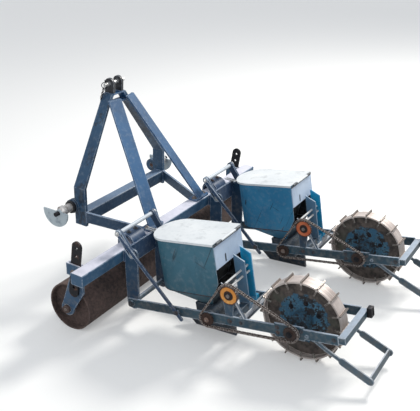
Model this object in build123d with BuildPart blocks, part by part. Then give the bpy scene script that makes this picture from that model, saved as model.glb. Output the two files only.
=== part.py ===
"""Two-row precision seeder for a three-point hitch, standing on its drum and its two drive wheels.

World frame: +X points to the rear, +Y to the machine's right, +Z up. The ground is Z = 0 and the
origin is below the middle of the machine. The front frame and each row unit are drawn level in
their own frames and placed by front_place and unit_place, with the slant they have at rest.
"""
from math import asin, atan2, cos, degrees, hypot, pi, radians, sin
import os

from build123d import *

os.makedirs("parts", exist_ok=True)

# Overall
row_spacing = 750.0
frame_lean = 5.0
run_gap = 0.3
fit_gap = 0.05

# Reach of cutters: right through a piece, and past the face they start from
through = 400.0
cut_over = 1.0

# Toolbar, its frame is level and centred on it
bar_depth = 66.0
bar_height = 58.0
bar_length = 1550.0
bar_edge = 6.0

# Headstock
hitch_spread = 683.0
hitch_x = -398.0
hitch_z = 84.0
hitch_boss_r = 36.0
hitch_boss_thick = 12.0
hitch_pin_r = 11.0
hitch_pin_end = 22.0
ring_r = 32.0
ring_thick = 12.0
collar_r = 22.0
collar_width = 32.0
ball_r = 28.0
ball_width = 44.0
ball_band = 17.6
guide_r = 78.0
guide_thick = 8.0
guide_x = -418.0
guide_cut = 6.0
leg_width = 70.0
leg_thick = 16.0
leg_x = -352.0
leg_foot_z = -12.0
leg_bend_z = 190.0
leg_top_x = -390.0
leg_top_z = 598.0
lug_thick = 14.0
lug_width = 56.0
lug_half_gap = 26.0
mast_pin_x = -388.0
mast_pin_z = 648.0
mast_pin_r = 9.5
mast_pin_reach = 34.0
beam_depth = 58.0
beam_height = 66.0
arm_height = 56.0
arm_thick = 12.0
arm_rear_y = 235.0
brace_width = 75.0
brace_thick = 12.0
brace_foot_x = 14.0
brace_foot_y = 212.0
brace_top_z = 578.0
brace_turn = 14.0
foot_thick = 10.0
foot_length = 120.0
tie_z = 545.0
tie_depth = 50.0
tie_wall = 6.0

# Drum roller and the parts that carry it
drum_r = 120.0
drum_inset = 90.0
drum_x = -135.0
drum_z = -235.0
drum_recess = 32.0
drum_wall = 7.0
drum_axle_r = 20.0
drum_stub = 14.0
drum_arm_gap = 6.0
drum_arm_thick = 10.0
drum_arm_width = 76.0
drum_eye_r = 36.0
depth_bar_width = 52.0
depth_bar_thick = 10.0
depth_bar_x = -66.0
depth_bar_top_z = 147.0
depth_bar_foot_z = -150.0
depth_bar_slant = 8.0
depth_hole_r = 7.0
depth_hole_pitch = 42.0
depth_hole_count = 6
depth_hole_top = 34.0
socket_height = 60.0
socket_wall = 8.0

# Row unit, its frame starts at the pivot between carrier and rails
pivot_x = 92.0
pivot_z = -229.0
pivot_r = 12.0
pin_end = 10.0
rail_half_gap = 125.0
rail_thick = 8.0
rail_height = 45.0
rail_front = -22.0
rail_break_a = 785.0
rail_break_b = 868.0
rail_rear = 1042.0
block_height = 62.0
block_lap = 26.0
rear_bar_size = 30.0
axle_x = 836.0
axle_r = 14.0

# Drive wheel
wheel_r = 182.0
lug_height = 12.0
wheel_width = 66.0
rim_thick = 7.0
wheel_lugs = 16
lug_plate = 6.0
lug_reach = 30.0
lug_side = 6.0
web_thick = 10.0
ring_width = 70.0
hub_r = 44.0
hub_near = 78.0
hub_far = 34.0

# Hopper and lid
hopper_rear = 500.0
hopper_front = 150.0
hopper_half = 118.0
hopper_top = 348.0
hopper_waist = 98.0
hopper_foot = 26.0
hopper_wall = 3.0
hopper_corner = 100.0
hopper_back_z = 164.0
hopper_back_x = 463.0
outlet_front = 342.0
outlet_rear = 417.0
outlet_half = 60.0
outlet_corner = 20.0
slope_top_z = 231.0
slope_top_x = 452.0
slope_foot_x = 400.0
lid_lip = 2.5
lid_front_lip = 12.0
lid_skirt = 10.0
lid_sheet = 2.5
hinge_r = 5.0
hinge_pin_r = 2.5
hinge_mid = 60.0
hinge_end = 100.0
hinge_play = 1.0
panel_thick = 3.0
panel_inset = 3.0
keyhole_y = -34.0
keyhole_width = 13.0
keyhole_height = 40.0
keyhole_foot = 5.0

# Seed housing, shaft, idler and chain
housing_depth = 130.0
housing_shift = 12.0
housing_foot = -70.0
housing_half = 68.0
seed_x = 434.0
seed_z = -1.0
seed_shaft_r = 12.0
boss_r = 30.0
sprocket_r = 31.0
sprocket_thick = 6.0
tooth_gap_r = 4.4
tooth_gap_sides = 6
shaft_end = 9.0
chain_y = -143.0
chain_pitch = 12.7
chain_gap = 0.5
link_outer_width = 13.0
link_outer_height = 9.6
link_inner_width = 9.0
link_inner_height = 8.4
idler_x = 563.0
idler_z = 134.0
idler_r = 45.0
idler_pin_r = 8.0
idler_thick = 6.0
stand_x = 540.0
stand_plate = 6.0
grey_plate_y = 15.0
cyan_plate_y = 75.0
stand_bar = 36.0
plate_front = 511.0
plate_rear = 564.0
grey_plate_top = 252.0
cyan_plate_top = 266.0
plate_drop = 31.0
stand_rod_r = 5.0
rod_high = 42.0
rod_low = 14.0
rod_step = 5.0
strut_width = 14.0
strut_reach = 62.0

# Carrier between toolbar and unit
carrier_thick = 8.0
carrier_front = 50.0
carrier_rear = 122.0
carrier_top = 30.0
carrier_foot_r = 34.0
saddle_width = 100.0
saddle_wall = 10.0
saddle_rise = 48.0
saddle_plate = 96.0
link_x = 25.0
link_z = 125.0
link_r = 10.0
arm_bolt_x = 96.0
arm_bolt_z = 32.0
link_arm_width = 34.0
link_arm_thick = 14.0
link_wall = 4.0
link_collar_r = 16.0
link_collar_thick = 4.0
stay_pin_r = 6.0
stay_width = 18.0
stay_thick = 6.0
stay_rail_x = 265.0
stay_tail = 38.0

# Opener, scraper and drag loop
opener_front = 205.0
opener_rear = 480.0
opener_lift = 4.0
opener_thick = 14.0
opener_rise = 70.0
opener_curve = 60.0
opener_neck = 315.0
scraper_x = 596.0
scraper_gap = 6.0
scraper_knee_x = 606.0
scraper_knee_z = 44.0
scraper_tip_z = 95.0
scraper_thick = 6.0
drag_x = 905.0
drag_z = -6.0
drag_pin_r = 7.0
drag_pin_end = 2.0
drag_eye_r = 13.0
drag_half = 114.0
drag_thick = 6.0
drag_rod = 16.0
drag_bar = 34.0
drag_knee_x = 972.0
drag_knee_z = -57.0
drag_bar_x = 1046.0
drag_bar_z = -105.0
drag_end_x = 1156.0
drag_end_z = -171.0

# Sizes that follow from others
drum_length = bar_length - 2 * drum_inset
lug_tip_r = wheel_r + lug_height
lug_inner_r = wheel_r - lug_reach
centre_r = wheel_r - rim_thick - ring_width

# Where the frames stand: the drum and the lug tips of the wheels touch the ground
lean = radians(frame_lean)
front_z = drum_r - (-drum_x * sin(lean) + drum_z * cos(lean))
pivot_world_x = pivot_x * cos(lean) + pivot_z * sin(lean)
unit_origin_z = front_z - pivot_x * sin(lean) + pivot_z * cos(lean)
pitch = asin((lug_tip_r - unit_origin_z) / axle_x)
unit_pitch = degrees(pitch)

# The origin lies midway between the guide plates in front and the drag loops behind
front_end = guide_x * cos(lean) + hitch_z * sin(lean) - guide_r
rear_end = pivot_world_x + drag_end_x * cos(pitch) - drag_end_z * sin(pitch) + drag_bar / 2
front_x = -(front_end + rear_end) / 2
unit_origin_x = front_x + pivot_world_x
front_place = Location((front_x, 0, front_z), (0, frame_lean, 0))
rows = [("left", -row_spacing / 2), ("right", row_spacing / 2)]
sides = [("left", -1), ("right", 1)]


def unit_place(row_y):
    return Location((unit_origin_x, row_y, unit_origin_z), (0, -unit_pitch, 0))


def ground_z(x):
    """Height of the ground in the row unit's frame."""
    return -(unit_origin_z + x * sin(pitch)) / cos(pitch)


def side_plane(y):
    """Plane with local x to the rear and local y up, its normal towards -Y."""
    return Plane(origin=(0, y, 0), x_dir=(1, 0, 0), z_dir=(0, -1, 0))


def write(piece, name, place=Location()):
    piece.part = piece.part.moved(place)
    piece.part.label = name
    export_step(piece.part, f"parts/{name}.step")


# Toolbar
with BuildPart() as toolbar:
    with BuildSketch(side_plane(bar_length / 2)):
        RectangleRounded(bar_depth, bar_height, bar_edge)
    extrude(amount=bar_length)
write(toolbar, "toolbar", front_place)

# Headstock legs with their hitch bosses
leg_y = hitch_spread / 2 - leg_thick / 2
lug_y = lug_half_gap + lug_thick / 2
leg_top_y = lug_half_gap + lug_thick + leg_thick / 2
for side, sign in sides:
    with BuildPart() as leg:
        with BuildSketch(side_plane(sign * leg_y)):
            with Locations((leg_x, (leg_bend_z + leg_foot_z) / 2)):
                Rectangle(leg_width, leg_bend_z - leg_foot_z)
            with Locations((hitch_x, hitch_z)):
                Circle(hitch_boss_r)
        extrude(amount=leg_thick / 2, both=True)
        with BuildSketch(Plane.XY.offset(leg_bend_z)):
            with Locations((leg_x, sign * leg_y)):
                Rectangle(leg_width, leg_thick)
        with BuildSketch(Plane.XY.offset(leg_top_z)):
            with Locations((leg_top_x, sign * leg_top_y)):
                Rectangle(lug_width, leg_thick)
        loft()
        with BuildSketch(side_plane(sign * (leg_y + leg_thick / 2 + hitch_boss_thick / 2))):
            with Locations((hitch_x, hitch_z)):
                Circle(hitch_boss_r)
        extrude(amount=hitch_boss_thick / 2, both=True)
        with Locations((hitch_x, sign * leg_y, hitch_z)):
            Cylinder(hitch_pin_r + fit_gap, through, rotation=(90, 0, 0), mode=Mode.SUBTRACT)
    write(leg, f"leg_{side}", front_place)

# Top-link lugs stand on the box piece between the leg ends
for side, sign in sides:
    with BuildPart() as lug:
        with BuildSketch(side_plane(sign * lug_y)):
            with BuildLine():
                Polyline(
                    (mast_pin_x - lug_width / 2, mast_pin_z),
                    (leg_top_x - lug_width / 2, leg_top_z),
                    (leg_top_x + lug_width / 2, leg_top_z),
                    (mast_pin_x + lug_width / 2, mast_pin_z),
                )
                ThreePointArc(
                    (mast_pin_x + lug_width / 2, mast_pin_z),
                    (mast_pin_x, mast_pin_z + lug_width / 2),
                    (mast_pin_x - lug_width / 2, mast_pin_z),
                )
            make_face()
            with Locations((mast_pin_x, mast_pin_z)):
                Circle(mast_pin_r + fit_gap, mode=Mode.SUBTRACT)
        extrude(amount=lug_thick / 2, both=True)
    write(lug, f"lug_{side}", front_place)

with BuildPart() as mast_pin:
    with BuildSketch(side_plane(0)):
        with Locations((mast_pin_x, mast_pin_z)):
            Circle(mast_pin_r)
    extrude(amount=lug_half_gap + lug_thick + mast_pin_reach, both=True)
write(mast_pin, "mast_pin", front_place)

# Box piece between the leg ends, its sides follow their slant
leg_slope = (leg_y - leg_top_y) / (leg_top_z - leg_bend_z)
leg_sweep = (leg_top_x - leg_x) / (leg_top_z - leg_bend_z)


def leg_inner_y(z):
    """Half the gap between the legs at a height above the bend."""
    return leg_y - leg_thick / 2 - (z - leg_bend_z) * leg_slope


tie_x = leg_x + (tie_z - leg_bend_z) * leg_sweep
with BuildPart() as tie_plate:
    with BuildSketch(Plane.YZ.offset(tie_x - tie_depth / 2)):
        for shift, mode in ((0, Mode.ADD), (tie_wall, Mode.SUBTRACT)):
            low = tie_z + shift
            high = leg_top_z - shift
            with BuildLine():
                Polyline(
                    (-leg_inner_y(low) + shift, low),
                    (leg_inner_y(low) - shift, low),
                    (leg_inner_y(high) - shift, high),
                    (-leg_inner_y(high) + shift, high),
                    close=True,
                )
            make_face(mode=mode)
    extrude(amount=tie_depth)
write(tie_plate, "tie_plate", front_place)

# Cross beam between the leg feet
with BuildPart() as cross_beam:
    with BuildSketch(side_plane(leg_y - leg_thick / 2)):
        with Locations((leg_x + (leg_width - beam_depth) / 2, beam_height / 2)):
            RectangleRounded(beam_depth, beam_height, bar_edge)
    extrude(amount=2 * leg_y - leg_thick)
write(cross_beam, "cross_beam", front_place)

# Side arms from the leg feet to the toolbar
arm_front_x = leg_x + leg_width / 2
for side, sign in sides:
    with BuildPart() as side_arm:
        with BuildSketch(Plane.YZ.offset(arm_front_x)):
            with Locations((sign * leg_y, beam_height - arm_height / 2)):
                Rectangle(arm_thick, arm_height)
        with BuildSketch(Plane.YZ.offset(-bar_depth / 2)):
            with Locations((sign * arm_rear_y, bar_height / 2 - bar_edge - arm_height / 2)):
                Rectangle(arm_thick, arm_height)
        loft()
    write(side_arm, f"side_arm_{side}", front_place)

# Flat braces from behind the leg tops down to their feet on the toolbar
brace_rise = brace_top_z - leg_bend_z
brace_slew = brace_width * sin(radians(brace_turn))
brace_top_x = leg_x + brace_rise * leg_sweep + (leg_width + brace_thick + brace_slew) / 2
brace_top_y = leg_y - brace_rise * leg_slope
for side, sign in sides:
    with BuildPart() as brace:
        with BuildSketch(Plane.XY.offset(bar_height / 2 + foot_thick)):
            with Locations((brace_foot_x, sign * brace_foot_y)):
                Rectangle(brace_thick, brace_width, rotation=sign * brace_turn)
        with BuildSketch(Plane.XY.offset(brace_top_z)):
            with Locations((brace_top_x, sign * brace_top_y)):
                Rectangle(brace_thick, brace_width, rotation=sign * brace_turn)
        loft()
        with BuildSketch(Plane.XY.offset(bar_height / 2)):
            with Locations((0, sign * brace_foot_y)):
                RectangleRounded(bar_depth - 2 * bar_edge, foot_length, bar_edge)
        extrude(amount=foot_thick)
    write(brace, f"brace_{side}", front_place)

# Lower hitch pins, each with a ring, a collar, a ball and a half-round guide plate
stack_y = leg_y + leg_thick / 2 + hitch_boss_thick + run_gap
ball_y = stack_y + ring_thick + collar_width
guide_y = ball_y + ball_width + guide_thick / 2
pin_end_y = guide_y + guide_thick / 2 + hitch_pin_end
bore_r = hitch_pin_r + run_gap
flat_r = (ball_r**2 - (ball_width / 2) ** 2) ** 0.5
for side, sign in sides:
    with BuildPart() as hitch_pin:
        with Locations((hitch_x, sign * (leg_y - leg_thick / 2 + pin_end_y) / 2, hitch_z)):
            Cylinder(hitch_pin_r, pin_end_y - leg_y + leg_thick / 2, rotation=(90, 0, 0))
    write(hitch_pin, f"hitch_pin_{side}", front_place)

    with BuildPart() as hitch_ball:
        with BuildSketch(Plane(origin=(hitch_x, 0, hitch_z), x_dir=(1, 0, 0), z_dir=(0, 0, 1))):
            with BuildLine():
                Polyline(
                    (collar_r, sign * ball_y),
                    (collar_r, sign * (stack_y + ring_thick)),
                    (ring_r, sign * (stack_y + ring_thick)),
                    (ring_r, sign * stack_y),
                    (bore_r, sign * stack_y),
                    (bore_r, sign * (ball_y + ball_width)),
                    (flat_r, sign * (ball_y + ball_width)),
                )
                Polyline(
                    (flat_r, sign * (ball_y + ball_width)),
                    (ball_r, sign * (ball_y + (ball_width + ball_band) / 2)),
                    (ball_r, sign * (ball_y + (ball_width - ball_band) / 2)),
                    (flat_r, sign * ball_y),
                    (collar_r, sign * ball_y),
                )
            make_face()
        revolve(axis=Axis((hitch_x, 0, hitch_z), (0, 1, 0)))
        with BuildSketch(side_plane(sign * guide_y)):
            with Locations((guide_x, hitch_z)):
                Circle(guide_r)
                with Locations((0, guide_r + guide_cut)):
                    Rectangle(2 * guide_r, 2 * guide_r, mode=Mode.SUBTRACT)
            with Locations((hitch_x, hitch_z)):
                Circle(flat_r)
                Circle(bore_r, mode=Mode.SUBTRACT)
        extrude(amount=guide_thick / 2, both=True)
    write(hitch_ball, f"hitch_ball_{side}", front_place)

# Drum roller
drum_half = drum_length / 2
stub_y = drum_half + drum_arm_gap + drum_arm_thick + drum_stub
with BuildPart() as drum:
    with BuildSketch(Plane.XY):
        with BuildLine():
            Polyline(
                (0, 0),
                (0, stub_y),
                (drum_axle_r, stub_y),
                (drum_axle_r, drum_half - drum_recess),
                (drum_r - drum_wall, drum_half - drum_recess),
                (drum_r - drum_wall, drum_half),
                (drum_r, drum_half),
                (drum_r, 0),
                close=True,
            )
        make_face()
        mirror(about=Plane.XZ)
    revolve(axis=Axis.Y)
write(drum, "drum", front_place * Location((drum_x, 0, drum_z)))

# Plates that carry the drum axle, each with a perforated adjusting bar outside it
socket_reach = drum_arm_thick / 2 + depth_bar_thick + run_gap + socket_wall
bar_span = depth_bar_top_z - depth_bar_foot_z
for side, sign in sides:
    arm_y = sign * (drum_half + drum_arm_gap + drum_arm_thick / 2)
    bar_y = arm_y + sign * (drum_arm_thick + depth_bar_thick) / 2
    with BuildPart() as drum_arm:
        with BuildSketch(side_plane(arm_y)):
            with BuildLine():
                Polyline(
                    (-bar_depth / 2, bar_height / 2),
                    (-bar_depth / 2 - drum_arm_width, bar_height / 2),
                    (-bar_depth / 2 - drum_arm_width, -bar_height),
                    (drum_x - drum_eye_r, drum_z),
                    (drum_x + drum_eye_r, drum_z),
                    (-bar_depth / 2, -bar_height - bar_depth),
                    close=True,
                )
            make_face()
            with Locations((drum_x, drum_z)):
                Circle(drum_eye_r)
                Circle(drum_axle_r + run_gap, mode=Mode.SUBTRACT)
        extrude(amount=drum_arm_thick / 2, both=True)
        with BuildSketch(Plane.XY.offset(bar_height / 2 - socket_height)):
            with Locations((-(bar_depth + drum_arm_width) / 2, arm_y + sign * socket_reach / 2)):
                Rectangle(drum_arm_width, socket_reach)
                with Locations((socket_wall, -sign * socket_wall)):
                    Rectangle(drum_arm_width, socket_reach, mode=Mode.SUBTRACT)
        extrude(amount=socket_height)
    write(drum_arm, f"drum_arm_{side}", front_place)

    with BuildPart() as depth_bar:
        with BuildSketch(side_plane(bar_y)):
            with Locations(Location((depth_bar_x, 0, 0), (0, 0, -depth_bar_slant))):
                with Locations((0, depth_bar_top_z - bar_span / 2)):
                    SlotOverall(bar_span, depth_bar_width, rotation=90)
                for step in range(depth_hole_count):
                    with Locations((0, depth_bar_top_z - depth_hole_top - step * depth_hole_pitch)):
                        Circle(depth_hole_r, mode=Mode.SUBTRACT)
        extrude(amount=depth_bar_thick / 2, both=True)
    write(depth_bar, f"depth_bar_{side}", front_place)


def d_outline(front, rear, half, corner):
    """Edges of a plan outline with a straight rear, straight sides and a round front."""
    with BuildLine() as outline:
        Polyline((front + corner, -half), (rear, -half), (rear, half), (front + corner, half))
        EllipticalCenterArc((front + corner, 0), corner, half, start_angle=90, arc_size=180)
    return outline.edges()


def wedge(points, half):
    """Prism across the hopper from a side outline, used to cut its sloping rear."""
    with BuildPart() as prism:
        with BuildSketch(side_plane(0)):
            with BuildLine():
                Polyline(*points, close=True)
            make_face()
        extrude(amount=half, both=True)
    return prism.part


def toothed_disc(radius):
    """Face of a chain wheel with its teeth, centred on the origin."""
    teeth = round(2 * pi * radius / chain_pitch)
    with BuildSketch(mode=Mode.PRIVATE) as disc:
        Circle(radius)
        with PolarLocations(radius, teeth):
            RegularPolygon(tooth_gap_r, tooth_gap_sides, mode=Mode.SUBTRACT)
    return disc.sketch


def link_outline(length, height):
    """Corners of a chain link about its middle, its ends pointed past the pins."""
    end = length / 2
    side = height / 2
    tip = end + side
    return [(-tip, 0), (-end, -side), (end, -side), (tip, 0), (end, side), (-end, side)]


carrier_half = rail_half_gap - rail_thick / 2 - run_gap - carrier_thick / 2
rail_face = rail_half_gap + rail_thick / 2
for row, row_y in rows:
    place = unit_place(row_y)

    # Saddle over the toolbar with the plate behind it
    with BuildPart() as saddle:
        with BuildSketch(side_plane(row_y)):
            with Locations((0, bar_height / 2)):
                Circle(saddle_rise)
            with Locations((0, 0)):
                Rectangle(2 * saddle_rise, bar_height)
            with Locations((0, bar_height / 2)):
                Circle(saddle_rise - saddle_wall, mode=Mode.SUBTRACT)
            Rectangle(bar_depth, bar_height + 2 * bar_edge, mode=Mode.SUBTRACT)
        extrude(amount=saddle_width / 2, both=True)
        with BuildSketch(side_plane(row_y)):
            with Locations(((bar_depth / 2 + carrier_front) / 2, 0)):
                Rectangle(carrier_front - bar_depth / 2, bar_height)
            Rectangle(bar_depth, 2 * bar_height, mode=Mode.SUBTRACT)
            with Locations((carrier_front + carrier_thick / 2, 0)):
                Rectangle(carrier_thick, saddle_plate)
        extrude(amount=carrier_half - carrier_thick / 2, both=True)
    write(saddle, f"saddle_{row}", front_place)

    # Carrier plates down to the pivot
    for side, sign in sides:
        with BuildPart() as carrier:
            with BuildSketch(side_plane(row_y + sign * carrier_half)):
                with BuildLine():
                    Polyline(
                        (carrier_front, carrier_top),
                        (carrier_front, -bar_height),
                        (pivot_x - carrier_foot_r, pivot_z),
                        (pivot_x + carrier_foot_r, pivot_z),
                        (carrier_rear, -bar_height),
                        (carrier_rear, carrier_top),
                        close=True,
                    )
                make_face()
                with Locations((arm_bolt_x, arm_bolt_z)):
                    Circle(carrier_rear - arm_bolt_x)
                with Locations((pivot_x, pivot_z)):
                    Circle(carrier_foot_r)
                    Circle(pivot_r + run_gap, mode=Mode.SUBTRACT)
            extrude(amount=carrier_thick / 2, both=True)
        write(carrier, f"carrier_{row}_{side}", front_place)

    # Slanted channel arms outside the carrier with the cross tube between their upper ends
    link_half = carrier_half + carrier_thick / 2 + run_gap + link_arm_thick / 2
    link_face = link_half + link_arm_thick / 2
    link_turn = degrees(atan2(arm_bolt_z - link_z, arm_bolt_x - link_x))
    link_span = hypot(arm_bolt_x - link_x, arm_bolt_z - link_z)
    link_middle = ((link_x + arm_bolt_x) / 2, (link_z + arm_bolt_z) / 2)
    stay_y = -link_face - link_collar_thick - stay_thick / 2
    with BuildPart() as link_arms:
        for sign in (-1, 1):
            with BuildSketch(side_plane(row_y + sign * link_half)):
                with Locations(link_middle):
                    SlotCenterToCenter(link_span, link_arm_width, rotation=link_turn)
            extrude(amount=link_arm_thick / 2, both=True)
            with BuildSketch(side_plane(row_y + sign * link_face)):
                with Locations(link_middle):
                    SlotCenterToCenter(link_span, link_arm_width - 2 * link_wall, rotation=link_turn)
            extrude(amount=sign * (link_arm_thick - link_wall), mode=Mode.SUBTRACT)
            with BuildSketch(side_plane(row_y + sign * link_face)):
                with Locations((link_x, link_z)):
                    Circle(link_collar_r)
            extrude(amount=-sign * link_collar_thick)
        with Locations((link_x, row_y, link_z)):
            Cylinder(link_r, 2 * link_face, rotation=(90, 0, 0))
        with BuildSketch(side_plane(row_y - link_face)):
            with Locations((link_x, link_z)):
                Circle(stay_pin_r)
        extrude(amount=link_collar_thick + 2 * stay_thick)
    write(link_arms, f"link_arms_{row}", front_place)

    # Flat stay from the cross tube's end down to the near rail
    stay_top = (front_place * Location((link_x, 0, link_z))).position
    stay_foot = (unit_place(0) * Location((stay_rail_x, 0, 0))).position
    stay_span = hypot(stay_foot.X - stay_top.X, stay_foot.Z - stay_top.Z)
    stay_turn = degrees(atan2(stay_foot.Z - stay_top.Z, stay_foot.X - stay_top.X))
    with BuildPart() as stay:
        with BuildSketch(side_plane(row_y + stay_y)):
            with Locations(Location((stay_top.X, stay_top.Z, 0), (0, 0, stay_turn))):
                with Locations(((stay_span + stay_tail) / 2, 0)):
                    SlotCenterToCenter(stay_span + stay_tail, stay_width)
            with Locations((stay_top.X, stay_top.Z), (stay_foot.X, stay_foot.Z)):
                Circle(stay_pin_r + run_gap, mode=Mode.SUBTRACT)
        extrude(amount=stay_thick / 2, both=True)
    write(stay, f"stay_{row}")

    # Rails in two lengths with the axle's bearing block, the right one carries the pivot pin
    for side, sign in sides:
        with BuildPart() as rail:
            with BuildSketch(side_plane(sign * rail_half_gap)):
                with Locations(((rail_front + rail_break_a) / 2, 0)):
                    Rectangle(rail_break_a - rail_front, rail_height)
                with Locations(((rail_break_b + rail_rear) / 2, 0)):
                    Rectangle(rail_rear - rail_break_b, rail_height)
            extrude(amount=rail_thick / 2, both=True)
            with BuildSketch(side_plane(sign * (rail_half_gap - rail_thick / 2))):
                with Locations(((rail_break_a + rail_break_b) / 2, 0)):
                    Rectangle(rail_break_b - rail_break_a + 2 * block_lap, block_height)
            extrude(amount=-sign * rail_thick)
            with Locations((axle_x, sign * rail_half_gap, 0)):
                Cylinder(axle_r + run_gap, through, rotation=(90, 0, 0), mode=Mode.SUBTRACT)
            with Locations((drag_x, sign * rail_half_gap, drag_z)):
                Cylinder(drag_pin_r + run_gap, through, rotation=(90, 0, 0), mode=Mode.SUBTRACT)
            if side == "right":
                with BuildSketch(side_plane(rail_face + pin_end)):
                    Circle(pivot_r)
                extrude(amount=2 * (rail_face + pin_end))
            if side == "left":
                with Locations((0, -rail_half_gap, 0)):
                    Cylinder(pivot_r + run_gap, through, rotation=(90, 0, 0), mode=Mode.SUBTRACT)
                with Locations((seed_x, -rail_half_gap, seed_z)):
                    Cylinder(seed_shaft_r + run_gap, through, rotation=(90, 0, 0), mode=Mode.SUBTRACT)
                with BuildSketch(side_plane(-rail_face)):
                    with Locations((stay_rail_x, 0)):
                        Circle(stay_pin_r)
                extrude(amount=-stay_y - rail_face + 1.5 * stay_thick)
        write(rail, f"rail_{row}_{side}", place)

    with BuildPart() as rear_bar:
        with Locations((rail_rear + rear_bar_size / 2, 0, 0)):
            Box(rear_bar_size, 2 * rail_face, rear_bar_size)
    write(rear_bar, f"rear_bar_{row}", place)

    # Hopper
    wall = hopper_wall
    cavity_back = (
        (hopper_rear + cut_over, hopper_top + cut_over),
        (hopper_rear - wall, hopper_top + cut_over),
        (hopper_rear - wall, slope_top_z + wall),
        (slope_top_x - wall, slope_top_z + wall),
        (slope_foot_x - wall, hopper_waist),
        (slope_foot_x - wall, 0),
        (hopper_rear + cut_over, 0),
    )
    inner_front = hopper_front + wall
    inner_half = hopper_half - wall
    inner_corner = hopper_corner - wall
    with BuildPart() as cavity:
        with BuildSketch(Plane.XY.offset(hopper_waist)):
            add(d_outline(inner_front, hopper_rear - wall, inner_half, inner_corner))
            make_face()
        extrude(amount=hopper_top - hopper_waist)
        add(wedge(cavity_back, 2 * hopper_half), mode=Mode.SUBTRACT)
        with BuildSketch(Plane.XY.offset(hopper_waist)):
            add(d_outline(inner_front, slope_foot_x - wall, inner_half, inner_corner))
            make_face()
        with BuildSketch(Plane.XY.offset(hopper_foot)):
            outlet_inner = outlet_half - wall
            add(d_outline(outlet_front + wall, outlet_rear - wall, outlet_inner, outlet_corner - wall))
            make_face()
        loft()
    with BuildPart() as hopper:
        with BuildSketch(Plane.XY.offset(hopper_waist)):
            add(d_outline(hopper_front, hopper_rear, hopper_half, hopper_corner))
            make_face()
        extrude(amount=hopper_top - hopper_waist)
        with BuildSketch(Plane.XY.offset(hopper_waist)):
            add(d_outline(hopper_front, hopper_back_x, hopper_half, hopper_corner))
            make_face()
        with BuildSketch(Plane.XY.offset(hopper_foot)):
            add(d_outline(outlet_front, outlet_rear, outlet_half, outlet_corner))
            make_face()
        loft()
        add(
            wedge(
                (
                    (hopper_rear + cut_over, hopper_back_z),
                    (hopper_rear, hopper_back_z),
                    (hopper_back_x, hopper_waist),
                    (hopper_rear + cut_over, hopper_waist),
                ),
                2 * hopper_half,
            ),
            mode=Mode.SUBTRACT,
        )
        add(
            wedge(
                (
                    (hopper_rear + cut_over, slope_top_z),
                    (slope_top_x, slope_top_z),
                    (slope_foot_x, hopper_waist),
                    (hopper_rear + cut_over, hopper_waist),
                ),
                inner_half,
            ),
            mode=Mode.SUBTRACT,
        )
        add(cavity.part, mode=Mode.SUBTRACT)
    write(hopper, f"hopper_{row}", place)

    # Rear panel with the keyhole slot and the fixed hinge knuckles of the lid
    hinge_x = hopper_rear + panel_thick + hinge_r
    hinge_z = hopper_top
    with BuildPart() as rear_panel:
        with BuildSketch(Plane.YZ.offset(hopper_rear)):
            with Locations((0, (slope_top_z + hopper_top - hinge_r) / 2)):
                Rectangle(2 * (hopper_half - panel_inset), hopper_top - hinge_r - slope_top_z)
            with Locations((keyhole_y, slope_top_z + keyhole_foot + keyhole_height / 2)):
                SlotOverall(keyhole_height, keyhole_width, rotation=90, mode=Mode.SUBTRACT)
        extrude(amount=panel_thick)
        for sign in (-1, 1):
            with BuildSketch(side_plane(sign * (hinge_mid + hinge_end) / 2)):
                with Locations(((hopper_rear + hinge_x) / 2, hinge_z - hinge_r)):
                    Rectangle(hinge_x - hopper_rear, 2 * hinge_r)
                with Locations((hinge_x, hinge_z)):
                    Circle(hinge_r)
            extrude(amount=(hinge_end - hinge_mid) / 2, both=True)
        with Locations((hinge_x, 0, hinge_z)):
            Cylinder(hinge_pin_r, 2 * hinge_end, rotation=(90, 0, 0))
    write(rear_panel, f"rear_panel_{row}", place)

    # Lid, a sheet with a turned-down skirt
    lid_front = hopper_front - lid_front_lip
    lid_half = hopper_half + lid_lip + lid_sheet
    lid_z = hopper_top + run_gap + lid_sheet - lid_skirt
    with BuildPart() as lid:
        with BuildSketch(Plane.XY.offset(lid_z)):
            add(d_outline(lid_front, hopper_rear, lid_half, hopper_corner))
            make_face()
        extrude(amount=lid_skirt)
        with BuildSketch(Plane.XY.offset(lid_z)):
            lid_inner = lid_half - lid_sheet
            add(d_outline(lid_front + lid_sheet, hopper_rear, lid_inner, hopper_corner - lid_sheet))
            make_face()
        extrude(amount=lid_skirt - lid_sheet, mode=Mode.SUBTRACT)
        with Locations((hopper_rear, 0, hopper_top + run_gap + lid_sheet / 2)):
            Box(2 * (hinge_x - hopper_rear), 2 * (hinge_mid - hinge_play), lid_sheet)
        with Locations((hinge_x, 0, hinge_z)):
            Cylinder(hinge_r, 2 * (hinge_mid - hinge_play), rotation=(90, 0, 0))
            Cylinder(hinge_pin_r + run_gap, through, rotation=(90, 0, 0), mode=Mode.SUBTRACT)
    write(lid, f"lid_{row}", place)

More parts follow.
